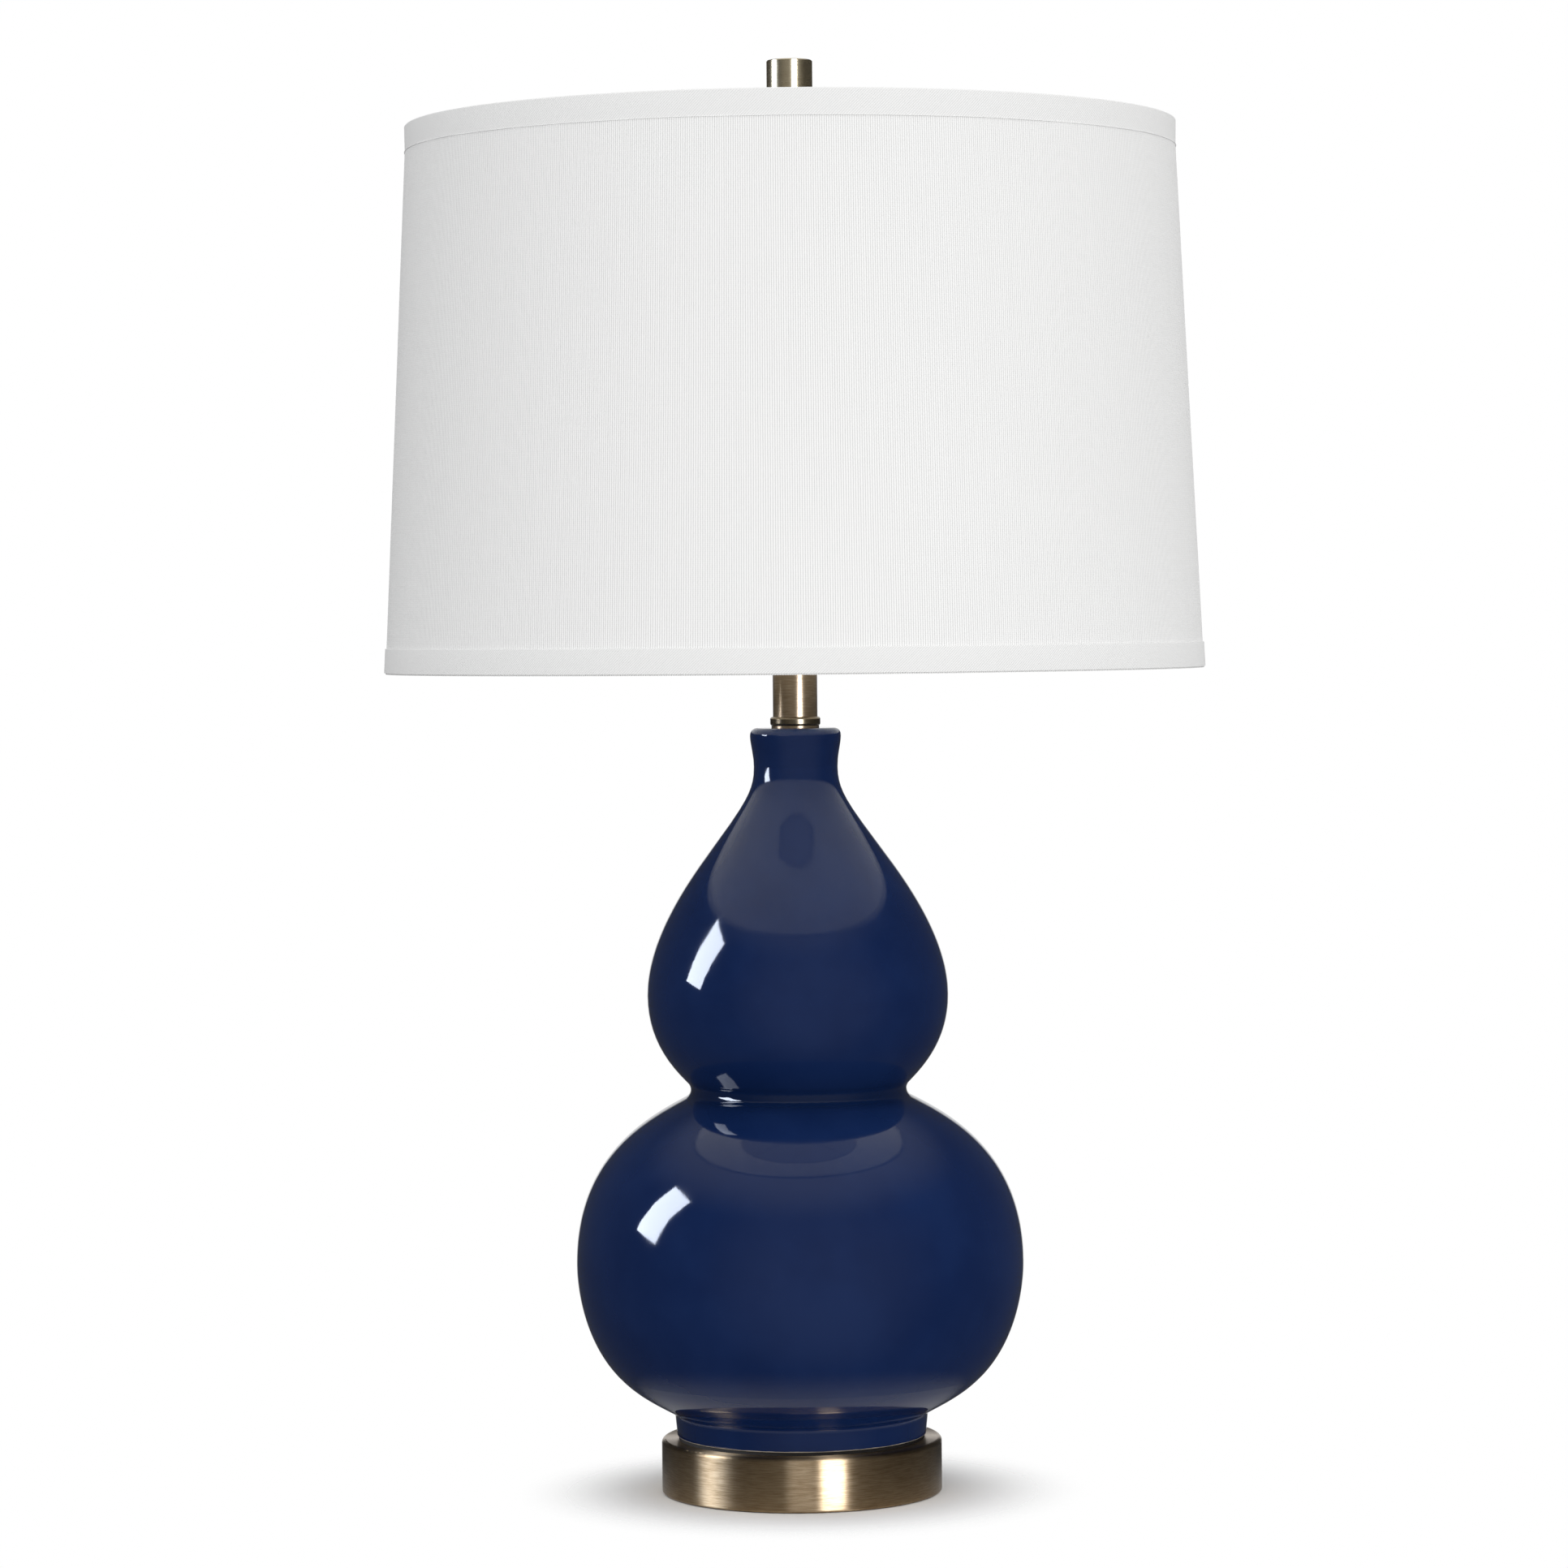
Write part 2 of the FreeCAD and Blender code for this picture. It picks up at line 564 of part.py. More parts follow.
def make_socket_cap():
    """The bell shaped cap that screws onto the rod and holds the socket shell."""
    shoulder_level = CAP_LEVEL + CAP_NECK_HEIGHT
    outer = [
        (ROD_RADIUS, CAP_LEVEL),
        (CAP_NECK_RADIUS, CAP_LEVEL),
        (CAP_NECK_RADIUS, shoulder_level),
        (CAP_RADIUS, CAP_SKIRT_LEVEL),
        (CAP_RADIUS, CAP_TOP_LEVEL),
        (CAP_RADIUS - CAP_WALL, CAP_TOP_LEVEL),
        (CAP_RADIUS - CAP_WALL, CAP_SKIRT_LEVEL + CAP_WALL / 2),
        (CAP_NECK_RADIUS - CAP_WALL / 2, shoulder_level + CAP_WALL),
        (ROD_RADIUS, shoulder_level + CAP_WALL),
    ]
    return turned(outer)


def spindle_hole(clearance):
    """The round way from the block's middle out to the front that the spindle runs in."""
    return Part.makeCylinder(
        SPINDLE_RADIUS + clearance, CAP_RADIUS + KNOB_GAP, Vector(0, 0, KNOB_LEVEL), FRONT)


def make_socket_shell():
    """The metal shell of the socket, pressed into the cap."""
    shell = tube(SOCKET_SHELL_RADIUS, LINER_RADIUS, SOCKET_SHELL_LEVEL, SOCKET_SHELL_TOP_LEVEL)
    return shell.cut(spindle_hole(SPINDLE_HOLE_CLEARANCE))


def make_socket_liner():
    """The insulating sleeve inside the socket shell."""
    liner = tube(LINER_RADIUS, LINER_RADIUS - LINER_WALL, BLOCK_LEVEL, SOCKET_SHELL_TOP_LEVEL - LINER_MARGIN)
    return liner.cut(spindle_hole(SPINDLE_HOLE_CLEARANCE))


def make_socket_block():
    """The moulded block that holds the switch, the screw shell and the contact."""
    block = disc(BLOCK_RADIUS, BLOCK_LEVEL, BLOCK_TOP_LEVEL)
    bearing = Part.makeCylinder(
        SPINDLE_RADIUS + RUNNING_CLEARANCE,
        BLOCK_RADIUS,
        Vector(0, SPINDLE_DEPTH - BLOCK_RADIUS + RUNNING_CLEARANCE, KNOB_LEVEL),
        FRONT)
    return block.cut(bearing)


def make_socket_screw_shell():
    """The thin shell that the light bulb screws into."""
    inner_radius = SCREW_SHELL_RADIUS - SCREW_SHELL_WALL
    return tube(SCREW_SHELL_RADIUS, inner_radius, BLOCK_TOP_LEVEL, BLOCK_TOP_LEVEL + SCREW_SHELL_HEIGHT)


def make_socket_contact():
    """The contact button at the bottom of the screw shell."""
    return disc(SOCKET_CONTACT_RADIUS, BLOCK_TOP_LEVEL, BLOCK_TOP_LEVEL + SOCKET_CONTACT_THICKNESS)


def make_terminal_screws():
    """The heads of the two wiring screws under the block, with their slots."""
    screws = []
    slot_depth = TERMINAL_HEAD_HEIGHT / 2
    slot_width = TERMINAL_HEAD_RADIUS / 3
    bottom = BLOCK_LEVEL - TERMINAL_HEAD_HEIGHT
    for side in (1, -1):
        centre = side * TERMINAL_SPACING / 2
        middle = Vector(centre, 0, bottom)
        head = Part.makeCylinder(TERMINAL_HEAD_RADIUS, TERMINAL_HEAD_HEIGHT, middle, Z_AXIS)
        corner = Vector(centre - TERMINAL_HEAD_RADIUS, -slot_width / 2, bottom)
        slot = Part.makeBox(2 * TERMINAL_HEAD_RADIUS, slot_width, slot_depth, corner)
        screws.append(head.cut(slot))
    return Part.makeCompound(screws)


# ---- switch knob ----

def make_knob_spindle():
    """The round spindle from the switch block into the knob."""
    inner_end = BLOCK_RADIUS - SPINDLE_DEPTH
    outer_end = CAP_RADIUS + KNOB_GAP + KNOB_SOCKET_DEPTH
    return Part.makeCylinder(
        SPINDLE_RADIUS, outer_end - inner_end, Vector(0, -inner_end, KNOB_LEVEL), FRONT)


def at_front(edge, distance):
    """Whether an edge lies that far in front of the lamp's axis."""
    tolerance = 1e-4
    return abs(edge.BoundBox.YMax + distance) < tolerance


def make_turn_knob():
    """The fluted knob at the front of the socket."""
    start = CAP_RADIUS + KNOB_GAP
    middle = Vector(0, -start, KNOB_LEVEL)
    knob = Part.makeCylinder(KNOB_RADIUS, KNOB_LENGTH, middle, FRONT)
    rim = [edge for edge in knob.Edges if at_front(edge, start + KNOB_LENGTH)]
    knob = knob.makeFillet(KNOB_EDGE_RADIUS, rim)
    for index in range(KNOB_FLUTES):
        angle = index * 2 * math.pi / KNOB_FLUTES
        across = KNOB_RADIUS * math.cos(angle)
        up = KNOB_LEVEL + KNOB_RADIUS * math.sin(angle)
        flute_start = Vector(across, -start, up)
        flute = Part.makeCylinder(KNOB_FLUTE_RADIUS, KNOB_LENGTH, flute_start, FRONT)
        knob = knob.cut(flute)
    return knob.cut(Part.makeCylinder(SPINDLE_RADIUS, KNOB_SOCKET_DEPTH, middle, FRONT))


# ---- light bulb ----

def make_bulb_contact():
    """The solder tip at the bottom of the light bulb."""
    return disc(TIP_RADIUS, BULB_LEVEL, INSULATOR_LEVEL)


def make_bulb_insulator():
    """The glass insulator between the tip and the threaded base."""
    return turned([
        (0, INSULATOR_LEVEL),
        (TIP_RADIUS, INSULATOR_LEVEL),
        (INSULATOR_TOP_RADIUS, LAMP_BASE_LEVEL),
        (0, LAMP_BASE_LEVEL),
    ])


def make_bulb_base():
    """The rolled metal base of the light bulb."""
    inner_radius = LAMP_BASE_RADIUS - LAMP_BASE_WALL - THREAD_DEPTH
    base = tube(LAMP_BASE_RADIUS, inner_radius, LAMP_BASE_LEVEL, GLASS_LEVEL)
    for turn in range(THREAD_TURNS):
        middle = Vector(0, 0, LAMP_BASE_LEVEL + (turn + 0.5) * THREAD_PITCH)
        base = base.cut(Part.makeTorus(LAMP_BASE_RADIUS + THREAD_DEPTH, 2 * THREAD_DEPTH, middle, Z_AXIS))
    return base


def glass_solid(depth):
    """The pear shape of the glass envelope, that depth inside its outer surface."""
    neck = LAMP_BASE_RADIUS - GLASS_NECK_SETBACK - depth
    radius = GLASS_RADIUS - depth
    equator = GLASS_LEVEL + GLASS_EQUATOR_HEIGHT
    side = Part.BezierCurve()
    side.setPoles([
        Vector(neck, 0, GLASS_LEVEL),
        Vector(neck, 0, GLASS_LEVEL + GLASS_HOLD[0] * GLASS_EQUATOR_HEIGHT),
        Vector(radius, 0, equator - GLASS_HOLD[1] * GLASS_EQUATOR_HEIGHT),
        Vector(radius, 0, equator),
    ])
    halfway = radius * math.sqrt(0.5)
    shoulder = Vector(halfway, 0, equator + halfway)
    dome = Part.Arc(Vector(radius, 0, equator), shoulder, Vector(0, 0, equator + radius)).toShape()
    edges = [
        straight((0, GLASS_LEVEL), (neck, GLASS_LEVEL)),
        side.toShape(),
        dome,
        straight((0, equator + radius), (0, GLASS_LEVEL)),
    ]
    return Part.Face(Part.Wire(edges)).revolve(ORIGIN, Z_AXIS, FULL_TURN)


def make_bulb_glass():
    """The thin glass envelope of the light bulb, open into its base."""
    return glass_solid(0).cut(glass_solid(GLASS_WALL))


# ---- harp ----

def harp_side():
    """The slanted length above the knee and the long side radius that reach the harp's height and eye."""
    knee = math.radians(KNEE_ANGLE)
    arch = math.radians(ARCH_ANGLE)
    across = ARCH_RADIUS * math.cos(arch) - KNEE_RADIUS * (1 - math.cos(knee)) - LEG_OFFSET + EYE_RADIUS
    up = HARP_HEIGHT - LEG_STRAIGHT - KNEE_RADIUS * math.sin(knee) - ARCH_RADIUS * (1 - math.sin(arch))
    across_per_radius = math.cos(arch) - math.cos(knee)
    up_per_radius = math.sin(arch) + math.sin(knee)
    whole = math.sin(knee) * up_per_radius - math.cos(knee) * across_per_radius
    slant = (across * up_per_radius - up * across_per_radius) / whole
    radius = (math.sin(knee) * up - math.cos(knee) * across) / whole
    return slant, radius


def bend(start, lean_start, lean_end, radius):
    """An arc in the XZ plane that turns from one lean to another; returns the edge and its end."""
    sense = 1 if lean_end > lean_start else -1

    def reach(lean):
        across = sense * radius * (math.cos(lean_start) - math.cos(lean))
        up = sense * radius * (math.sin(lean) - math.sin(lean_start))
        return Vector(start.x + across, 0, start.z + up)

    end = reach(lean_end)
    return Part.Arc(start, reach((lean_start + lean_end) / 2), end).toShape(), end


def harp_half_route():
    """The harp wire's middle line on the +X side, from the end of its leg to the eye."""
    slant, side_radius = harp_side()
    knee = math.radians(KNEE_ANGLE)
    arch = math.radians(ARCH_ANGLE)
    start = Vector(LEG_OFFSET, 0, SHELF_LEVEL + LAP_LENGTH)
    point = Vector(LEG_OFFSET, 0, SHELF_LEVEL + LEG_STRAIGHT)
    edges = [Part.LineSegment(start, point).toShape()]
    edge, point = bend(point, 0, knee, KNEE_RADIUS)
    edges.append(edge)
    slant_end = point + Vector(slant * math.sin(knee), 0, slant * math.cos(knee))
    edges.append(Part.LineSegment(point, slant_end).toShape())
    edge, point = bend(slant_end, knee, -arch, side_radius)
    edges.append(edge)
    edge, point = bend(point, -arch, -math.pi / 2, ARCH_RADIUS)
    edges.append(edge)
    edges.append(Part.LineSegment(point, Vector(0, 0, HARP_TOP_LEVEL)).toShape())
    return edges


def make_harp():
    """The spring wire harp with half round leg ends and a flat eye on top."""
    half = Part.Wire(harp_half_route())
    circle = Part.Wire(Part.makeCircle(WIRE_RADIUS, Vector(LEG_OFFSET, 0, SHELF_LEVEL + LAP_LENGTH), Z_AXIS))
    right = half.makePipeShell([circle], True, False)
    tongue = Part.makeCylinder(
        WIRE_RADIUS, LAP_LENGTH - LAP_CLEARANCE, Vector(LEG_OFFSET, 0, SHELF_LEVEL + LAP_CLEARANCE), Z_AXIS)
    inner_face = LEG_OFFSET + LAP_CLEARANCE / 2
    width = 4 * WIRE_RADIUS
    inner_half = Part.makeBox(
        width, width, LAP_LENGTH, Vector(inner_face - width, -width / 2, SHELF_LEVEL + LAP_CLEARANCE))
    right = right.fuse(tongue).cut(inner_half)
    left = right.mirror(ORIGIN, X_AXIS)
    eye = disc(EYE_RADIUS, EYE_BOTTOM_LEVEL, EYE_TOP_LEVEL)
    hole_radius = STUD_SHANK_RADIUS + RUNNING_CLEARANCE
    hole = disc(hole_radius, EYE_BOTTOM_LEVEL - WIRE_RADIUS, EYE_TOP_LEVEL + WIRE_RADIUS)
    return right.fuse([left, eye]).cut(hole).removeSplitter()


def make_sleeve(side):
    """A sleeve that slides down a leg over the lap between the harp and the saddle."""
    foot = Vector(side * LEG_OFFSET, 0, SHELF_LEVEL + LAP_CLEARANCE)
    outer = Part.makeCylinder(SLEEVE_RADIUS, SLEEVE_LENGTH, foot, Z_AXIS)
    return outer.cut(Part.makeCylinder(SLEEVE_BORE_RADIUS, SLEEVE_LENGTH, foot, Z_AXIS))


# ---- swivel stud ----

def make_harp_swivel():
    """The stud that turns in the harp's eye and takes the finial's thread."""
    head_top = EYE_BOTTOM_LEVEL - RUNNING_CLEARANCE
    return turned([
        (0, head_top - STUD_HEAD_THICKNESS),
        (STUD_FLANGE_RADIUS, head_top - STUD_HEAD_THICKNESS),
        (STUD_FLANGE_RADIUS, head_top),
        (STUD_SHANK_RADIUS, head_top),
        (STUD_SHANK_RADIUS, FLANGE_LEVEL),
        (STUD_FLANGE_RADIUS, FLANGE_LEVEL),
        (STUD_FLANGE_RADIUS, HUB_LEVEL),
        (STUD_THREAD_RADIUS, HUB_LEVEL),
        (STUD_THREAD_RADIUS, HUB_TOP_LEVEL + STUD_THREAD_LENGTH),
        (0, HUB_TOP_LEVEL + STUD_THREAD_LENGTH),
    ])


# ---- shade ----

SKIN_DEPTH = TRIM_THICKNESS + FABRIC_THICKNESS
WALL_DEPTH = SKIN_DEPTH + SHADE_LINER_THICKNESS
RING_DEPTH = WALL_DEPTH + RING_GAP + RING_RADIUS
CUFF_DEPTH = RING_DEPTH + RING_RADIUS + RING_GAP


def shade_radius(level, depth):
    """The shade's radius at a level, that depth inside the outside of its trims."""
    share = (level - SHADE_BOTTOM_LEVEL) / SHADE_HEIGHT
    return SHADE_BOTTOM_RADIUS + (SHADE_TOP_RADIUS - SHADE_BOTTOM_RADIUS) * share - depth


def cone_layer(outer_depth, inner_depth, bottom, top):
    """A layer of the shade's wall between two depths and two levels."""
    return turned([
        (shade_radius(bottom, outer_depth), bottom),
        (shade_radius(top, outer_depth), top),
        (shade_radius(top, inner_depth), top),
        (shade_radius(bottom, inner_depth), bottom),
    ])


def make_shade_fabric():
    """The linen cover of the shade."""
    bottom = SHADE_BOTTOM_LEVEL + TRIM_THICKNESS
    return cone_layer(TRIM_THICKNESS, SKIN_DEPTH, bottom, SHADE_TOP_LEVEL - TRIM_THICKNESS)


def make_shade_liner():
    """The stiff white liner that the linen is laminated to."""
    bottom = SHADE_BOTTOM_LEVEL + TRIM_THICKNESS
    return cone_layer(SKIN_DEPTH, WALL_DEPTH, bottom, SHADE_TOP_LEVEL - TRIM_THICKNESS)


def folded_trim(rim, inward):
    """A tape folded over one rim of the shade; inward is 1 where the shade lies above the rim, else -1."""
    fold = rim + inward * TRIM_THICKNESS
    outer_end = rim + inward * TRIM_HEIGHT
    inner_end = rim + inward * TRIM_INNER_HEIGHT
    cuff_inside = CUFF_DEPTH + TRIM_THICKNESS
    tape = turned([
        (shade_radius(rim, 0), rim),
        (shade_radius(outer_end, 0), outer_end),
        (shade_radius(outer_end, TRIM_THICKNESS), outer_end),
        (shade_radius(fold, TRIM_THICKNESS), fold),
        (shade_radius(fold, CUFF_DEPTH), fold),
        (shade_radius(inner_end, CUFF_DEPTH), inner_end),
        (shade_radius(inner_end, cuff_inside), inner_end),
        (shade_radius(rim, cuff_inside), rim),
    ])
    tape = round_edge(tape, shade_radius(rim, 0), rim, TRIM_THICKNESS)
    return round_edge(tape, shade_radius(rim, cuff_inside), rim, TRIM_THICKNESS)


def ring_level(rim, inward):
    """The level of the wire ring inside the trim at one rim."""
    return rim + inward * (TRIM_THICKNESS + RING_GAP + RING_RADIUS)


def wire_ring(rim, inward):
    """The wire ring that keeps one rim of the shade round."""
    level = ring_level(rim, inward)
    return Part.makeTorus(shade_radius(level, RING_DEPTH), RING_RADIUS, Vector(0, 0, level), Z_AXIS)


def make_shade_top_ring():
    """The wire ring of the top rim."""
    return wire_ring(SHADE_TOP_LEVEL, -1)


def spider_arm(arm_radius):
    """One arm of the spider with a given wire radius: out from the hub, then bent up to the top ring."""
    angle = math.radians(ARM_BEND_ANGLE)
    hub_level = HUB_LEVEL + HUB_THICKNESS / 2
    end_level = ring_level(SHADE_TOP_LEVEL, -1)
    end_radius = shade_radius(end_level, RING_DEPTH)
    tangent = ARM_BEND_RADIUS * math.tan(angle / 2)
    corner = end_radius - (end_level - hub_level) / math.tan(angle)
    bend_start = Vector(corner - tangent, 0, hub_level)
    bend_end = Vector(corner + tangent * math.cos(angle), 0, hub_level + tangent * math.sin(angle))
    middle_rise = ARM_BEND_RADIUS * (1 - math.cos(angle / 2))
    bend_middle = bend_start + Vector(ARM_BEND_RADIUS * math.sin(angle / 2), 0, middle_rise)
    hub_point = Vector(HUB_RADIUS - ARM_RADIUS / 2, 0, hub_level)
    route = Part.Wire([
        Part.LineSegment(hub_point, bend_start).toShape(),
        Part.Arc(bend_start, bend_middle, bend_end).toShape(),
        Part.LineSegment(bend_end, Vector(end_radius, 0, end_level)).toShape(),
    ])
    circle = Part.Wire(Part.makeCircle(arm_radius, hub_point, X_AXIS))
    return route.makePipeShell([circle], True, False)


def around_the_shade(arm):
    """Copies of one arm at each of the spider's angles."""
    arms = []
    for index in range(ARM_COUNT):
        turned_arm = arm.copy()
        turned_arm.rotate(ORIGIN, Z_AXIS, ARM_FIRST_ANGLE + index * FULL_TURN / ARM_COUNT)
        arms.append(turned_arm)
    return arms


def make_shade_spider():
    """The hub washer and its three arms, which meet the top ring."""
    hub = disc(HUB_RADIUS, HUB_LEVEL, HUB_TOP_LEVEL)
    arm = spider_arm(ARM_RADIUS).cut(make_shade_top_ring())
    arm = max(arm.Solids, key=lambda solid: solid.Volume)
    arms = around_the_shade(arm)
    hole_radius = STUD_THREAD_RADIUS + HUB_HOLE_CLEARANCE
    return hub.fuse(arms).cut(disc(hole_radius, HUB_LEVEL - ARM_RADIUS, HUB_TOP_LEVEL + ARM_RADIUS))


def make_shade_top_trim():
    """The tape of the top rim, slit where the spider's arms pass through its cuff."""
    slit = spider_arm(ARM_RADIUS + TRIM_SLIT_CLEARANCE)
    return folded_trim(SHADE_TOP_LEVEL, -1).cut(around_the_shade(slit))


# ---- finial ----

def make_finial_barrel():
    """The plain turned cylinder, counterbored for its threaded insert."""
    barrel = disc(FINIAL_RADIUS, HUB_TOP_LEVEL, FINIAL_TOP_LEVEL)
    rims = [edge for edge in barrel.Edges if isinstance(edge.Curve, Part.Circle)]
    barrel = barrel.makeChamfer(FINIAL_EDGE_CHAMFER, rims)
    bore_radius = INSERT_RADIUS + INSERT_CLEARANCE
    return barrel.cut(disc(bore_radius, HUB_TOP_LEVEL, HUB_TOP_LEVEL + FINIAL_BORE_DEPTH))


def make_finial_insert():
    """The threaded insert inside the finial."""
    bottom = HUB_TOP_LEVEL + FINIAL_SEAT_DEPTH
    return tube(INSERT_RADIUS, STUD_THREAD_RADIUS + INSERT_CLEARANCE, bottom, bottom + INSERT_LENGTH)


def main():
    """Make each piece and write it."""
    pieces = {
        "base_felt": make_base_felt(),
        "base_weight": make_base_weight(),
        "base_shell": make_base_shell(),
        "cord_bushing": make_cord_bushing(),
        "threaded_rod": make_threaded_rod(),
        "rod_washer": make_rod_washer(),
        "rod_nut": make_rod_nut(),
        "foot_gasket": make_foot_gasket(),
        "ceramic_body": make_ceramic_body(),
        "neck_ring": make_neck_ring(),
        "neck_collar": make_neck_collar(),
        "neck_tube": make_neck_tube(),
        "harp_saddle": make_harp_saddle(),
        "socket_cap": make_socket_cap(),
        "socket_shell": make_socket_shell(),
        "socket_liner": make_socket_liner(),
        "socket_block": make_socket_block(),
        "socket_screw_shell": make_socket_screw_shell(),
        "socket_contact": make_socket_contact(),
        "terminal_screws": make_terminal_screws(),
        "knob_spindle": make_knob_spindle(),
        "turn_knob": make_turn_knob(),
        "bulb_contact": make_bulb_contact(),
        "bulb_insulator": make_bulb_insulator(),
        "bulb_base": make_bulb_base(),
        "bulb_glass": make_bulb_glass(),
        "harp": make_harp(),
        "sleeve_right": make_sleeve(1),
        "sleeve_left": make_sleeve(-1),
        "harp_swivel": make_harp_swivel(),
        "shade_spider": make_shade_spider(),
        "shade_top_ring": make_shade_top_ring(),
        "shade_bottom_ring": wire_ring(SHADE_BOTTOM_LEVEL, 1),
        "shade_liner": make_shade_liner(),
        "shade_fabric": make_shade_fabric(),
        "shade_top_trim": make_shade_top_trim(),
        "shade_bottom_trim": folded_trim(SHADE_BOTTOM_LEVEL, 1),
        "finial_barrel": make_finial_barrel(),
        "finial_insert": make_finial_insert(),
    }
    os.makedirs("parts", exist_ok=True)
    for name, shape in pieces.items():
        shape.exportStep(f"parts/{name}.step")
        box = shape.BoundBox
        print(f"{name}: solids {len(shape.Solids)} valid {shape.isValid()} volume {shape.Volume:.1f}"
              f" z {box.ZMin:.2f}..{box.ZMax:.2f}")


if __name__ == "__main__":
    main()
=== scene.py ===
"""The finished look of a double gourd table lamp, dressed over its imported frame.

Metres, +Z up, the origin under the middle of the base and -Y at the front. The turned ceramic and metal parts keep
their solids and get procedural finishes; the cloth cover, its two bindings and the felt are modelled here.
"""

from __future__ import annotations

import logging
import math
from abc import ABC, abstractmethod
from dataclasses import dataclass, field
from enum import Enum
from typing import Callable, Iterable, Mapping, Sequence, Union

import bmesh
import bpy
from mathutils import Matrix, Vector, noise

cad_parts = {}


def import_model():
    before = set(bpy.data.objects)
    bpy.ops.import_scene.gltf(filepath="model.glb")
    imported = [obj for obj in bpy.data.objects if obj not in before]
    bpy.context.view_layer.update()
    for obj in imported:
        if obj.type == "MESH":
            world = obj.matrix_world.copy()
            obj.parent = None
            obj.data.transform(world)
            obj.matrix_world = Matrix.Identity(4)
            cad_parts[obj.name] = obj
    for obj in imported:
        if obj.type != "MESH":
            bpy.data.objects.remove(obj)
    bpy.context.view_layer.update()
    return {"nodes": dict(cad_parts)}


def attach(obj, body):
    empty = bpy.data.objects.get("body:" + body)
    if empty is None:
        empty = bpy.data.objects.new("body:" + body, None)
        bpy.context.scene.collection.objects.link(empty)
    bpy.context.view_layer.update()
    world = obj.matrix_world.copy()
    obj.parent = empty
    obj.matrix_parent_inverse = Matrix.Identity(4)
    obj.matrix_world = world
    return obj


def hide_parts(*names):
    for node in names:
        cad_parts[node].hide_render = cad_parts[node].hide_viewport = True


LOG = logging.getLogger("lamp")
MM = 0.001
FULL_TURN = 2 * math.pi
Colour = tuple[float, float, float]
Point = tuple[float, float]
DAYLIGHT: Colour = (0.90, 0.99, 1.17)
SKYLIGHT: Colour = (0.82, 1.10, 1.60)


def opaque(colour: Colour) -> tuple[float, float, float, float]:
    """Give a linear colour its alpha.

    Args:
        colour: linear red, green and blue.

    Returns:
        The colour with an alpha of 1.
    """
    return (*colour, 1.0)


# ---------------------------------------------------------------- shader maths


class Value:
    """A number in a node tree, whose operators add Math nodes."""

    def __init__(self, graph: Graph, socket: bpy.types.NodeSocket) -> None:
        """Wrap a socket.

        Args:
            graph: the tree that the socket belongs to.
            socket: the output that carries the number.
        """
        self.graph = graph
        self.socket = socket

    def _math(self, operation: str, *terms: Number) -> Value:
        """Add a Math node.

        Args:
            operation: the node's operation.
            terms: its inputs, in order.

        Returns:
            The node's result.
        """
        added = self.graph.node("ShaderNodeMath", {"operation": operation}, dict(enumerate(terms)))
        return Value(self.graph, added.outputs[0])

    def __add__(self, other: Number) -> Value:
        """Return self + other."""
        return self._math("ADD", self, other)

    def __radd__(self, other: Number) -> Value:
        """Return other + self."""
        return self._math("ADD", other, self)

    def __sub__(self, other: Number) -> Value:
        """Return self - other."""
        return self._math("SUBTRACT", self, other)

    def __rsub__(self, other: Number) -> Value:
        """Return other - self."""
        return self._math("SUBTRACT", other, self)

    def __mul__(self, other: Number) -> Value:
        """Return self * other."""
        return self._math("MULTIPLY", self, other)

    def __rmul__(self, other: Number) -> Value:
        """Return other * self."""
        return self._math("MULTIPLY", other, self)

    def __pow__(self, other: Number) -> Value:
        """Return self to the power of other."""
        return self._math("POWER", self, other)

    def __abs__(self) -> Value:
        """Return the number without its sign."""
        return self._math("ABSOLUTE", self)

    def sine(self) -> Value:
        """Return the sine of the number, in radians."""
        return self._math("SINE", self)

    def at_least(self, other: Number) -> Value:
        """Return the larger of self and other."""
        return self._math("MAXIMUM", self, other)


Number = Union[Value, float]
Input = Union[Value, bpy.types.NodeSocket, float, Sequence[float]]


@dataclass(frozen=True)
class Place:
    """Where a shaded point is, in the lamp's frame.

    Attributes:
        vector: the position's own socket.
        x: metres to the right.
        y: metres to the back.
        z: metres above the floor.
        radius: metres from the lamp's axis.
    """

    vector: bpy.types.NodeSocket
    x: Value
    y: Value
    z: Value
    radius: Value


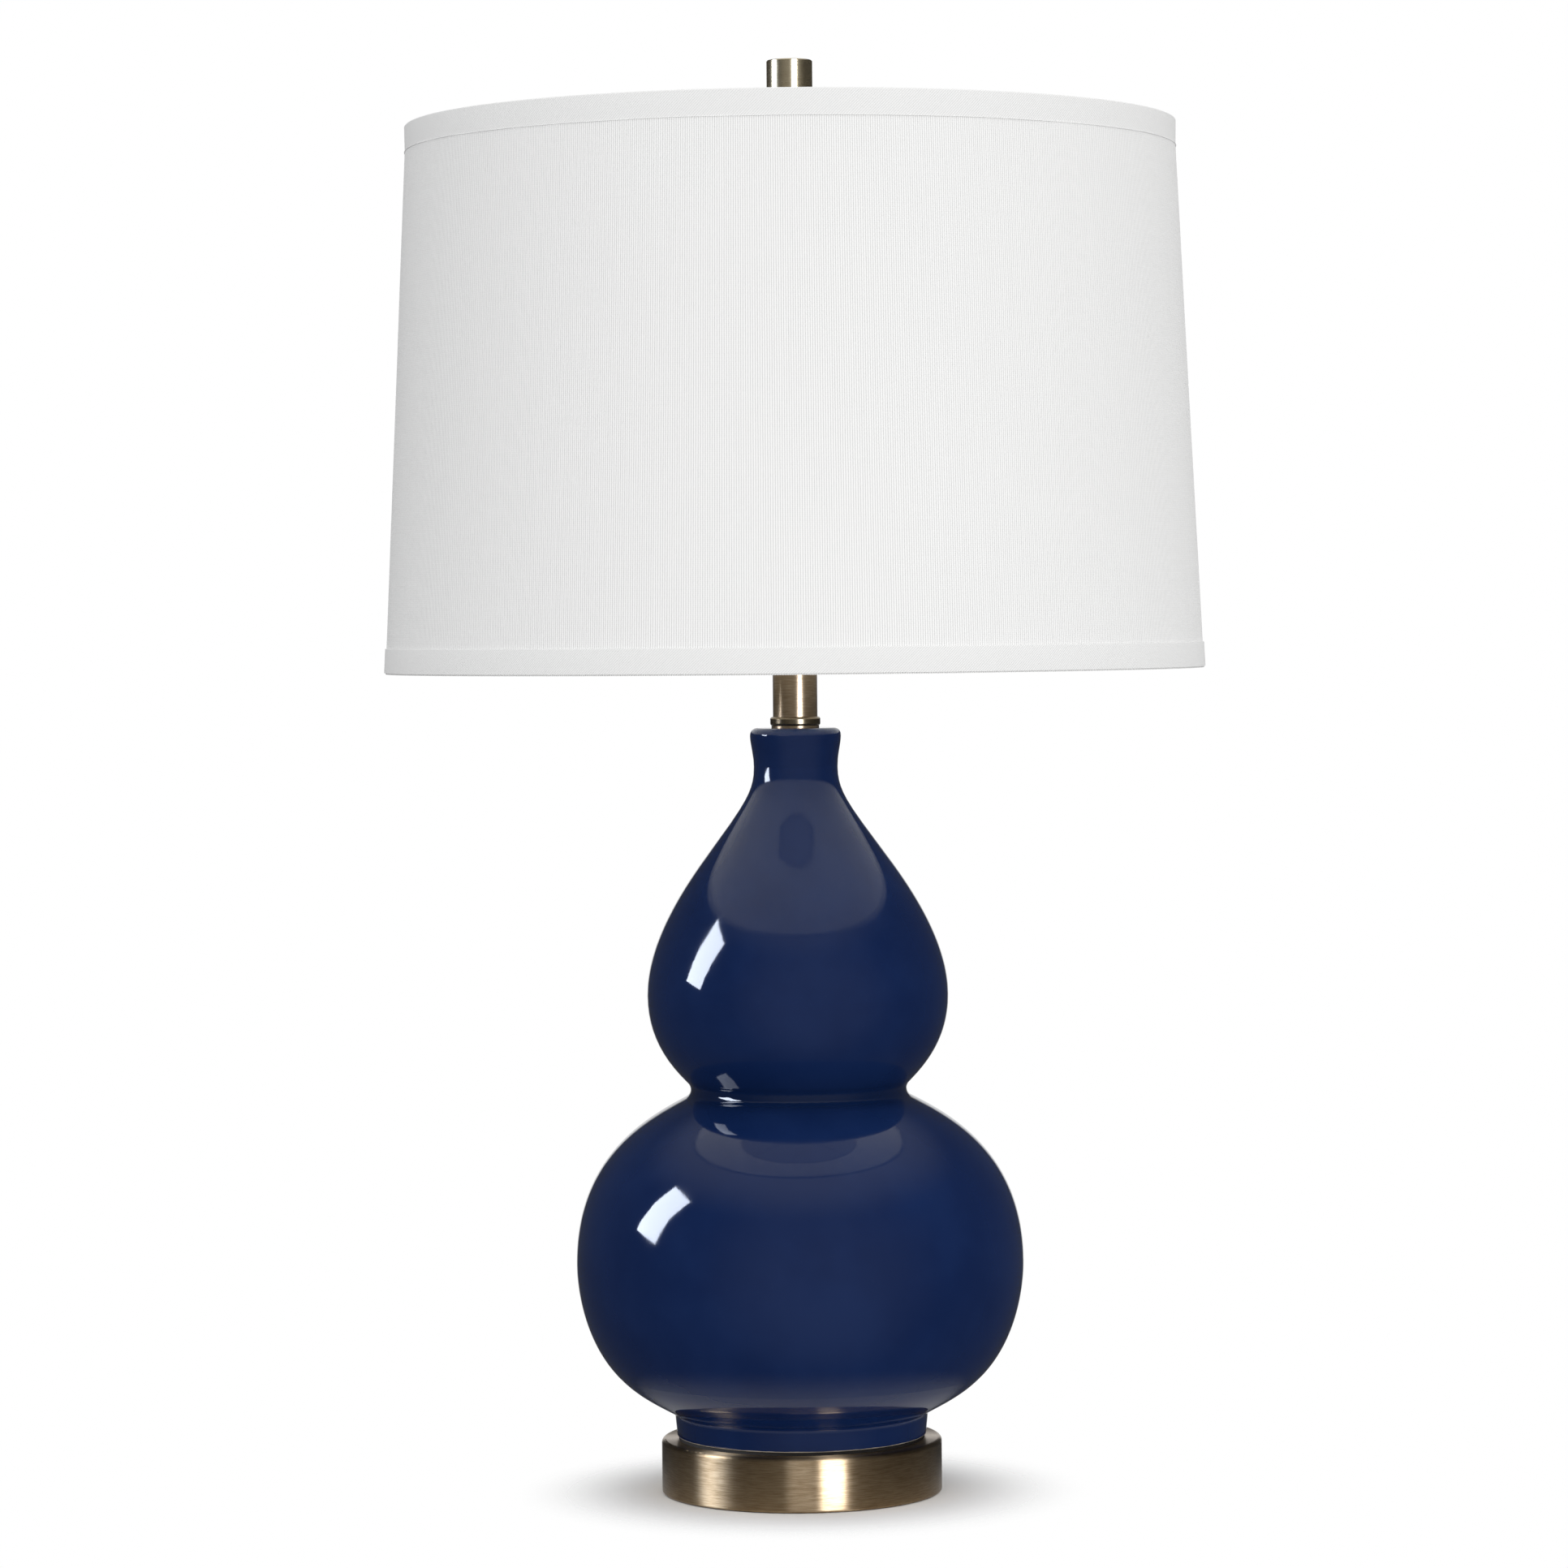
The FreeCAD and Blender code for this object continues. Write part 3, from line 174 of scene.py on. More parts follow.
class Graph:
    """A node tree, with the few recipes that the finishes share."""

    def __init__(self, tree: bpy.types.NodeTree) -> None:
        """Empty a node tree and take it over.

        Args:
            tree: a material's or a world's node tree.
        """
        self.tree = tree
        self.tree.nodes.clear()

    def node(
        self, kind: str, settings: Mapping[str, object] | None = None, inputs: Mapping[int | str, Input] | None = None
    ) -> bpy.types.Node:
        """Add one node.

        Args:
            kind: the node's type name.
            settings: attributes to set on it.
            inputs: numbers, colours, sockets or values for its inputs, by name or place.

        Returns:
            The node.
        """
        added = self.tree.nodes.new(kind)
        for name, setting in (settings or {}).items():
            setattr(added, name, setting)
        for key, given in (inputs or {}).items():
            if isinstance(given, Value):
                self.tree.links.new(given.socket, added.inputs[key])
            elif isinstance(given, bpy.types.NodeSocket):
                self.tree.links.new(given, added.inputs[key])
            else:
                added.inputs[key].default_value = given
        return added

    def split(self, vector: bpy.types.NodeSocket) -> tuple[Value, Value, Value]:
        """Take a vector apart.

        Args:
            vector: the vector's socket.

        Returns:
            Its three numbers.
        """
        parts = self.node("ShaderNodeSeparateXYZ", inputs={0: vector})
        return tuple(Value(self, socket) for socket in parts.outputs)

    def join(self, x: Number, y: Number, z: Number) -> bpy.types.NodeSocket:
        """Make a vector.

        Args:
            x: its first number.
            y: its second number.
            z: its third number.

        Returns:
            The vector's socket.
        """
        return self.node("ShaderNodeCombineXYZ", inputs={0: x, 1: y, 2: z}).outputs[0]

    def place(self) -> Place:
        """Read the shaded point's position.

        Returns:
            The position and its distance from the lamp's axis.
        """
        vector = self.node("ShaderNodeTexCoord").outputs["Object"]
        x, y, z = self.split(vector)
        return Place(vector, x, y, z, (x * x + y * y) ** 0.5)

    def noise(self, vector: bpy.types.NodeSocket, scale: float, detail: float = 2.0, rough: float = 0.5) -> Value:
        """Add a noise texture.

        Args:
            vector: where to read it.
            scale: cells per unit of the vector.
            detail: octaves.
            rough: the share of each finer octave.

        Returns:
            The noise, about 0 to 1.
        """
        inputs = {"Vector": vector, "Scale": scale, "Detail": detail, "Roughness": rough}
        return Value(self, self.node("ShaderNodeTexNoise", inputs=inputs).outputs[0])

    def fade(self, value: Number, start: float, end: float, low: float = 0.0, high: float = 1.0) -> Value:
        """Ease from one number to another as a value crosses a range.

        Args:
            value: the value that drives it.
            start: where the change begins.
            end: where it is complete.
            low: the result before start.
            high: the result after end.

        Returns:
            The eased number.
        """
        inputs = {"Value": value, 1: start, 2: end, 3: low, 4: high}
        return Value(self, self.node("ShaderNodeMapRange", {"interpolation_type": "SMOOTHSTEP"}, inputs).outputs[0])

    def mix(self, share: Number, first: Input, second: Input) -> bpy.types.NodeSocket:
        """Mix two colours.

        Args:
            share: how much of the second.
            first: the first colour or its socket.
            second: the second colour or its socket.

        Returns:
            The mixed colour's socket.
        """
        return self.node("ShaderNodeMix", {"data_type": "RGBA"}, {0: share, 6: first, 7: second}).outputs[2]

    def bump(self, height: Value, distance: float, strength: float = 1.0) -> bpy.types.NodeSocket:
        """Turn a height into a normal.

        Args:
            height: the height, about 0 to 1.
            distance: metres that a height of 1 stands for.
            strength: how much of it shows.

        Returns:
            The normal's socket.
        """
        inputs = {"Height": height, "Distance": distance, "Strength": strength}
        return self.node("ShaderNodeBump", inputs=inputs).outputs[0]

    def surface(self, inputs: Mapping[str, Input]) -> None:
        """Finish a material with the Principled shader.

        Args:
            inputs: the shader's inputs, by name.
        """
        shader = self.node("ShaderNodeBsdfPrincipled", inputs=inputs)
        self.node("ShaderNodeOutputMaterial", inputs={"Surface": shader.outputs[0]})


# ---------------------------------------------------------------- finishes


class Grain(Enum):
    """How the fine lines of a metal finish run."""

    TURNED = "round the lamp's axis"
    ROLLED = "in no direction"


@dataclass(frozen=True)
class Finish(ABC):
    """A procedural finish.

    Attributes:
        name: the material's name.
    """

    name: str

    @abstractmethod
    def dress(self, graph: Graph) -> None:
        """Build the material's nodes.

        Args:
            graph: the empty tree.
        """

    def make(self) -> bpy.types.Material:
        """Make the material, or return the one already made.

        Returns:
            The material.
        """
        known = bpy.data.materials.get(self.name)
        if known is not None:
            return known
        material = bpy.data.materials.new(self.name)
        material.use_nodes = True
        self.dress(Graph(material.node_tree))
        return material


@dataclass(frozen=True)
class Glaze(Finish):
    """Deep navy gloss glaze over a white body, thin at the lip, pooled at the waist and wiped off the foot.

    Attributes:
        deep: the glaze's colour where it is thick.
        open: its colour where it is thinner.
        thin: its colour where it breaks over the lip.
        pooled: its colour in the waist.
        biscuit: the bare clay under the foot.
        foot_level: the underside of the foot.
        waist_level: the sharp crease between the two gourds.
        lip_level: the top of the lip.
        roughness: the gloss.
        pool_reach: how far the pooled glaze spreads from the crease.
        break_start: how far under the lip's top the glaze begins to thin.
        break_end: how far under it the glaze is thinnest.
        wipe_start: how far above the foot's underside the bare clay ends.
        wipe_end: how far above it the glaze is whole.
        waver: how much that line wanders.
        peel: depth of the orange peel.
    """

    deep: Colour = (0.0042, 0.0148, 0.0670)
    open: Colour = (0.0066, 0.0200, 0.0820)
    thin: Colour = (0.030, 0.052, 0.110)
    pooled: Colour = (0.0018, 0.0085, 0.0360)
    biscuit: Colour = (0.46, 0.42, 0.36)
    foot_level: float = 28.6 * MM
    waist_level: float = 200.5 * MM
    lip_level: float = 381.6 * MM
    roughness: float = 0.045
    pool_reach: float = 7.0 * MM
    break_start: float = 2.6 * MM
    break_end: float = 0.4 * MM
    wipe_start: float = 0.15 * MM
    wipe_end: float = 0.35 * MM
    waver: float = 0.5 * MM
    peel: float = 0.10 * MM

    def dress(self, graph: Graph) -> None:
        """Build the glaze: clouding, thin and pooled places, an orange peel surface and a bare foot."""
        place = graph.place()
        cloud = graph.noise(place.vector, 16.0, 3.0, 0.55)
        fleck = graph.noise(place.vector, 900.0, 1.0)
        body = graph.mix(graph.fade(cloud, 0.35, 0.68), opaque(self.deep), opaque(self.open))
        depth = graph.fade(abs(place.z - self.waist_level), 0.0, self.pool_reach, 0.8, 0.0)
        body = graph.mix(depth, body, opaque(self.pooled))
        rim = graph.fade(place.z, self.lip_level - self.break_start, self.lip_level - self.break_end)
        wander = graph.noise(place.vector, 140.0, 2.0)
        body = graph.mix(rim * graph.fade(wander, 0.3, 0.7, 0.25, 0.6), body, opaque(self.thin))
        body = graph.mix(graph.fade(fleck, 0.70, 0.80, 0.0, 0.10), body, opaque(self.thin))
        edge = place.z - wander * self.waver
        bare = graph.fade(edge, self.foot_level + self.wipe_start, self.foot_level + self.wipe_end, 1.0, 0.0)
        colour = graph.mix(bare, body, opaque(self.biscuit))
        ripple = graph.noise(place.vector, 160.0, 2.0) * 0.3 + graph.noise(place.vector, 22.0, 1.0)
        smear = graph.noise(place.vector, 45.0, 3.0)
        shine = graph.fade(smear, 0.35, 0.75, self.roughness, self.roughness * 1.9)
        graph.surface({
            "Base Color": colour,
            "Roughness": shine + bare * 0.7,
            "IOR": 1.5,
            "Normal": graph.bump(ripple, self.peel, 0.6),
        })


@dataclass(frozen=True)
class Metal(Finish):
    """Metal with fine working lines and a worn, slightly tarnished colour.

    Attributes:
        bright: the colour of clean metal.
        tarnished: the colour of its patina.
        grain: how its working lines run.
        roughness: the mean roughness.
        stretch: how much further the lines spread light across them than along them.
        lines: lines per metre.
        strokes: strokes per metre along a line.
        relief: depth of the lines, in metres.
        patches: patches of patina per metre.
        patina: how far a patch tarnishes, from 0 to 1.
        groove: how far the bottom of a line tarnishes, from 0 to 1.
        marks: finger marks per metre.
    """

    bright: Colour = (0.37, 0.270, 0.160)
    tarnished: Colour = (0.19, 0.120, 0.058)
    grain: Grain = Grain.TURNED
    roughness: float = 0.24
    stretch: float = 0.0
    lines: float = 2600.0
    strokes: float = 60.0
    relief: float = 0.012 * MM
    patches: float = 34.0
    patina: float = 0.30
    groove: float = 0.65
    marks: float = 120.0

    def dress(self, graph: Graph) -> None:
        """Build the metal: working lines, patches of patina and finger marks."""
        place = graph.place()
        if self.grain is Grain.TURNED:
            run = graph.join(place.x * self.strokes, place.y * self.strokes, (place.z - place.radius) * self.lines)
        else:
            run = graph.join(place.x * self.lines, place.y * self.lines, place.z * self.lines)
        line = graph.noise(run, 1.0, 3.0, 0.65)
        patch = graph.noise(place.vector, self.patches, 4.0, 0.6)
        mark = graph.noise(place.vector, self.marks, 2.0)
        share = graph.fade(patch, 0.38, 0.72, 0.0, self.patina) + graph.fade(line, 0.32, 0.66, self.groove, 0.0)
        graph.surface({
            "Base Color": graph.mix(share, opaque(self.bright), opaque(self.tarnished)),
            "Metallic": 1.0,
            "Roughness": self.roughness * (0.78 + line * 0.28 + mark * 0.24),
            "Anisotropic": self.stretch,
            "Anisotropic Rotation": 0.25,
            "Normal": graph.bump(line, self.relief, 0.7),
        })


@dataclass(frozen=True)
class Moulded(Finish):
    """A dull or glossy non-metal: plastic, rubber, felt, fibre, porcelain or milky glass.

    Attributes:
        main: its colour.
        second: the colour that its grain drifts to.
        roughness: the mean roughness.
        grain: cells of the fine grain per metre.
        relief: depth of the grain, in metres.
        ior: the refractive index.
        sheen: how much its fibres catch light.
        glow: how much light scatters inside, from 0 to 1.
        scatter: how far it goes, in metres.
        painted_glow: a painted glow, emission in the part's own colour that stands in for light reaching its face
            from behind, where 1 is white.
        drifts: slow drifts of colour per metre.
        rubs: rubbed places per metre.
    """

    main: Colour = (0.02, 0.02, 0.02)
    second: Colour = (0.035, 0.033, 0.03)
    roughness: float = 0.5
    grain: float = 900.0
    relief: float = 0.02 * MM
    ior: float = 1.46
    sheen: float = 0.0
    glow: float = 0.0
    scatter: float = 1.5 * MM
    painted_glow: float = 0.0
    drifts: float = 45.0
    rubs: float = 110.0

    def dress(self, graph: Graph) -> None:
        """Build the material: a slow drift of colour, a fine grain and rubbed places."""
        place = graph.place()
        drift = graph.noise(place.vector, self.drifts, 3.0)
        fine = graph.noise(place.vector, self.grain, 3.0, 0.6)
        rubbed = graph.noise(place.vector, self.rubs, 2.0)
        share = graph.fade(drift * 0.6 + fine * 0.4, 0.32, 0.68)
        colour = graph.mix(share, opaque(self.main), opaque(self.second))
        # Painted glow: emission in the part's own colour stands in for light that reaches it from behind; the part is
        # no lamp.
        behind = {"Emission Color": colour, "Emission Strength": self.painted_glow} if self.painted_glow else {}
        graph.surface({
            **behind,
            "Base Color": colour,
            "Roughness": self.roughness * (0.82 + fine * 0.2 + rubbed * 0.16),
            "IOR": self.ior,
            "Sheen Weight": self.sheen,
            "Subsurface Weight": self.glow,
            "Subsurface Scale": self.scatter,
            "Normal": graph.bump(fine, self.relief, 0.8),
        })


@dataclass(frozen=True)
class Linen(Finish):
    """White plain weave linen with slubs, read from the cloth's own flat layout in metres.

    Attributes:
        lit: the colour of the tops of the threads, painted as lit.
        shaded: the colour between the threads, painted shade in the gaps of the weave.
        warp_pitch: spacing of the upright threads.
        weft_pitch: spacing of the threads that run round.
        relief: height of the threads.
        turn: how far the weave is turned in the cloth, in radians.
        sway: how far an upright thread wanders sideways.
        dip: how far a thread that runs round wanders up and down.
        wander: how often per metre the threads wander, across and along them.
        slubs: thick places per metre, across and along the threads.
        fibres: loose fibres per metre.
    """

    lit: Colour = (0.985, 0.985, 0.98)
    shaded: Colour = (0.70, 0.70, 0.695)
    warp_pitch: float = 1.11 * MM
    weft_pitch: float = 0.92 * MM
    relief: float = 0.17 * MM
    turn: float = 0.0
    sway: float = 0.24 * MM
    dip: float = 0.30 * MM
    wander: Point = (320.0, 26.0)
    slubs: Point = (1050.0, 14.0)
    fibres: float = 5200.0

    def dress(self, graph: Graph) -> None:
        """Build the weave: warp over weft, uneven threads and long slubs, each noise read at a depth of its own."""
        flat = graph.node("ShaderNodeUVMap", {"uv_map": "flat"}).outputs[0]
        across, along, _ = graph.split(flat)
        u = across * math.cos(self.turn) - along * math.sin(self.turn)
        v = across * math.sin(self.turn) + along * math.cos(self.turn)
        quick, slow = self.wander
        sway = graph.noise(graph.join(u * quick, v * slow, 0.0), 1.0, 2.0) - 0.5
        dip = graph.noise(graph.join(u * slow, v * quick, 3.0), 1.0, 2.0) - 0.5
        warp_phase = (u + sway * self.sway) * (math.pi / self.warp_pitch)
        weft_phase = (v + dip * self.dip) * (math.pi / self.weft_pitch)
        warp = abs(warp_phase.sine())
        weft = abs(weft_phase.sine())
        over = graph.fade(warp_phase.sine() * weft_phase.sine(), -0.35, 0.35)
        thin, long = self.slubs
        slub = graph.noise(graph.join(u * thin, v * long, 7.0), 1.0, 3.0, 0.6)
        thick = graph.noise(graph.join(u * long, v * thin, 11.0), 1.0, 2.0, 0.6)
        threads = warp * (0.70 + over * 0.30) * (0.55 + slub * 0.9) + weft * (1.0 - over) * (0.10 + thick * 0.30)
        # Painted light and shade: the tops of the threads are painted lit and the gaps between them painted shaded;
        # the fibre fuzz adds random tone.
        painted_weave_light = graph.fade(threads, 0.05, 0.85)
        fuzz = graph.noise(graph.join(u * self.fibres, v * self.fibres, 5.0), 1.0, 2.0)
        graph.surface({
            "Base Color": graph.mix(painted_weave_light * 0.85 + fuzz * 0.15, opaque(self.shaded), opaque(self.lit)),
            "Roughness": 0.82 + fuzz * 0.16,
            "IOR": 1.4,
            "Sheen Weight": 0.12,
            "Normal": graph.bump(threads + fuzz * 0.12, self.relief, 1.0),
        })


NAVY_GLAZE = Glaze("navy_gloss_glaze")
BRASS_DRUM = Metal("brushed_brass_drum", roughness=0.33, stretch=1.0, strokes=110.0, relief=0.008 * MM)
BRASS_NECK = Metal("brushed_brass_neck", bright=(0.45, 0.34, 0.225), tarnished=(0.21, 0.136, 0.070),
                   roughness=0.29, stretch=0.7, lines=5200.0, strokes=160.0, relief=0.0015 * MM)
BRASS_BEAD = Metal("dark_brass_bead", bright=(0.24, 0.19, 0.125), tarnished=(0.13, 0.095, 0.055),
                   roughness=0.24, stretch=0.4, lines=5200.0, strokes=120.0, relief=0.001 * MM)
BRASS_FINIAL = Metal("turned_brass_finial", bright=(0.97, 0.83, 0.57), tarnished=(0.74, 0.60, 0.37),
                     roughness=0.19, stretch=0.5, lines=5200.0, strokes=120.0, relief=0.0008 * MM)
BRASS_SPUN = Metal("satin_brass_socket", bright=(0.62, 0.46, 0.24), tarnished=(0.40, 0.27, 0.12),
                   roughness=0.3, stretch=0.4, lines=4200.0, relief=0.006 * MM)
BRASS_WIRE = Metal("plated_brass_wire", bright=(0.60, 0.46, 0.26), tarnished=(0.36, 0.25, 0.13), grain=Grain.ROLLED,
                   roughness=0.28, lines=900.0, relief=0.01 * MM)
BRASS_THREAD = Metal("machined_brass", bright=(0.66, 0.49, 0.25), tarnished=(0.42, 0.29, 0.13),
                     roughness=0.22, lines=5200.0, relief=0.005 * MM)
ZINC = Metal("zinc_plated_steel", bright=(0.58, 0.58, 0.56), tarnished=(0.36, 0.36, 0.34), grain=Grain.ROLLED,
             roughness=0.36, lines=1500.0)
ALUMINIUM = Metal("rolled_aluminium", bright=(0.72, 0.72, 0.73), tarnished=(0.52, 0.52, 0.53),
                  roughness=0.27, stretch=0.3, lines=3600.0, relief=0.008 * MM)
SOLDER = Metal("dull_solder", bright=(0.50, 0.50, 0.49), tarnished=(0.28, 0.28, 0.27), grain=Grain.ROLLED,
               roughness=0.42, lines=1100.0, relief=0.03 * MM)
IRON = Moulded("cast_iron", main=(0.045, 0.043, 0.042), second=(0.09, 0.075, 0.062), roughness=0.72, grain=1300.0,
               relief=0.14 * MM)
RUBBER = Moulded("black_rubber", main=(0.010, 0.010, 0.011), second=(0.018, 0.017, 0.017), roughness=0.66,
                 grain=1500.0)
NYLON = Moulded("black_nylon", main=(0.013, 0.012, 0.012), second=(0.022, 0.020, 0.018), roughness=0.42, grain=700.0)
BAKELITE = Moulded("black_phenolic", main=(0.012, 0.010, 0.009), second=(0.024, 0.017, 0.013), roughness=0.24,
                   grain=500.0, relief=0.01 * MM)
PHENOLIC = Moulded("brown_phenolic", main=(0.055, 0.030, 0.018), second=(0.085, 0.045, 0.026), roughness=0.4,
                   grain=700.0)
FIBRE = Moulded("fibre_liner", main=(0.30, 0.21, 0.12), second=(0.38, 0.28, 0.17), roughness=0.85, grain=1200.0,
                relief=0.05 * MM, sheen=0.1)
VITRITE = Moulded("black_glass_insulator", main=(0.008, 0.008, 0.010), second=(0.015, 0.014, 0.020), roughness=0.12,
                  grain=300.0, relief=0.01 * MM, ior=1.55)
FROSTED = Moulded("frosted_bulb_glass", main=(0.86, 0.86, 0.84), second=(0.80, 0.80, 0.78), roughness=0.34,
                  grain=600.0, relief=0.006 * MM, ior=1.5, glow=0.35)
# The liner has a painted glow that stands in for light that the cloth lets into the shade.
STYRENE = Moulded("white_styrene_liner", main=(0.86, 0.86, 0.845), second=(0.80, 0.80, 0.78), roughness=0.46,
                  grain=420.0, relief=0.02 * MM, painted_glow=0.30)
FELT = Moulded("dark_green_felt", main=(0.060, 0.105, 0.075), second=(0.100, 0.150, 0.115), roughness=0.95,
               grain=1500.0, relief=0.3 * MM, sheen=0.35)
SHADE_LINEN = Linen("white_linen")
BINDING_LINEN = Linen("white_bias_binding", lit=(0.90, 0.90, 0.895), shaded=(0.76, 0.76, 0.755),
                       turn=math.pi / 4, relief=0.12 * MM, warp_pitch=0.95 * MM)

NODE_FINISHES: dict[str, Finish] = {
    "base_weight": IRON,
    "base_shell": BRASS_DRUM,
    "cord_bushing": NYLON,
    "threaded_rod": ZINC,
    "rod_washer": ZINC,
    "rod_nut": ZINC,
    "foot_gasket": RUBBER,
    "ceramic_body": NAVY_GLAZE,
    "neck_ring": BRASS_NECK,
    "neck_collar": BRASS_BEAD,
    "neck_tube": BRASS_NECK,
    "harp_saddle": BRASS_WIRE,
    "socket_cap": BRASS_SPUN,
    "socket_shell": BRASS_SPUN,
    "socket_liner": FIBRE,
    "socket_block": PHENOLIC,
    "socket_screw_shell": ALUMINIUM,
    "socket_contact": BRASS_THREAD,
    "terminal_screws": BRASS_THREAD,
    "knob_spindle": BRASS_THREAD,
    "turn_knob": BAKELITE,
    "bulb_contact": SOLDER,
    "bulb_insulator": VITRITE,
    "bulb_base": ALUMINIUM,
    "bulb_glass": FROSTED,
    "harp": BRASS_WIRE,
    "sleeve_right": BRASS_WIRE,
    "sleeve_left": BRASS_WIRE,
    "harp_swivel": BRASS_THREAD,
    "shade_spider": BRASS_WIRE,
    "shade_top_ring": BRASS_WIRE,
    "shade_bottom_ring": BRASS_WIRE,
    "shade_liner": STYRENE,
    "finial_barrel": BRASS_FINIAL,
    "finial_insert": ZINC,
}
STRIP_LIT_NODES = ("base_shell", "neck_ring", "neck_collar", "neck_tube", "finial_barrel", "harp_swivel")


# ---------------------------------------------------------------- mesh tools


def link(mesh: bpy.types.Mesh, name: str, finish: Finish, crease: float = 30.0) -> bpy.types.Object:
    """Put a finished mesh into the scene.

    Args:
        mesh: the mesh.
        name: the object's name.
        finish: its finish.
        crease: edges sharper than this many degrees stay sharp.

    Returns:
        The new object.
    """
    mesh.polygons.foreach_set("use_smooth", [True] * len(mesh.polygons))
    mesh.set_sharp_from_angle(angle=math.radians(crease))
    mesh.materials.append(finish.make())
    piece = bpy.data.objects.new(name, mesh)
    bpy.context.scene.collection.objects.link(piece)
    return piece


@dataclass(frozen=True)
class Corner:
    """A corner of a turned outline.

    Attributes:
        radius: metres from the axis.
        level: metres above the floor.
        rounding: radius of the arc that rounds it.
    """

    radius: float
    level: float
    rounding: float = 0.0


def rounded(corners: Sequence[Corner], closed: bool, steps: int = 5) -> list[Point]:
    """Round the corners of an outline.

    Args:
        corners: its corners in order.
        closed: whether the last corner joins the first.
        steps: faces in each arc.

    Returns:
        The outline's points.
    """
    points: list[Point] = []
    count = len(corners)
    for index, corner in enumerate(corners):
        here = Vector((corner.radius, corner.level))
        ends = not closed and index in (0, count - 1)
        if corner.rounding <= 0 or ends:
            points.append((here.x, here.y))
            continue
        before = corners[index - 1]
        after = corners[(index + 1) % count]
        back = (Vector((before.radius, before.level)) - here).normalized()
        ahead = (Vector((after.radius, after.level)) - here).normalized()
        half = back.angle(ahead) / 2
        centre = here + (back + ahead).normalized() * (corner.rounding / math.sin(half))
        first = here + back * (corner.rounding / math.tan(half)) - centre
        sweep = math.pi - 2 * half
        turn = 1.0 if first.x * ahead.y - first.y * ahead.x > 0 else -1.0
        for step in range(steps + 1):
            angle = turn * sweep * step / steps
            points.append((
                centre.x + first.x * math.cos(angle) - first.y * math.sin(angle),
                centre.y + first.x * math.sin(angle) + first.y * math.cos(angle),
            ))
    return points


def turned(points: Iterable[Point], closed: bool, steps: int, start: float = 0.0) -> bmesh.types.BMesh:
    """Spin an outline about the lamp's axis.

    Args:
        points: radius and level of each point.
        closed: whether the outline is a loop.
        steps: faces round the axis.
        start: the angle at which the spin begins.

    Returns:
        The closed mesh.
    """
    made = bmesh.new()
    direction = Vector((math.cos(start), math.sin(start), 0.0))
    verts = [made.verts.new(direction * radius + Vector((0.0, 0.0, level))) for radius, level in points]
    pairs = list(zip(verts, verts[1:])) + ([(verts[-1], verts[0])] if closed else [])
    edges = [made.edges.new(pair) for pair in pairs]
    bmesh.ops.spin(
        made, geom=verts + edges, cent=(0, 0, 0), axis=(0, 0, 1), angle=FULL_TURN, steps=steps, use_merge=True
    )
    bmesh.ops.remove_doubles(made, verts=made.verts, dist=0.5e-6)
    bmesh.ops.recalc_face_normals(made, faces=made.faces)
    return made


def settle(made: bmesh.types.BMesh, name: str) -> bpy.types.Mesh:
    """Turn a bmesh into a mesh.

    Args:
        made: the bmesh, which is freed.
        name: the mesh's name.

    Returns:
        The mesh.
    """
    mesh = bpy.data.meshes.new(name)
    made.to_mesh(mesh)
    made.free()
    return mesh


def lay_flat(mesh: bpy.types.Mesh, layout: Callable[[Vector, float], Point]) -> None:
    """Write the flat layout that a weave is read from.

    Args:
        mesh: the mesh.
        layout: gives the flat place, in metres, of a point and of its face's angle about the axis.
    """
    layer = mesh.uv_layers.new(name="flat")
    for face in mesh.polygons:
        middle = math.atan2(face.center.y, face.center.x)
        for index in face.loop_indices:
            point = mesh.vertices[mesh.loops[index].vertex_index].co
            layer.data[index].uv = layout(point, middle)


# ---------------------------------------------------------------- sub-assemblies


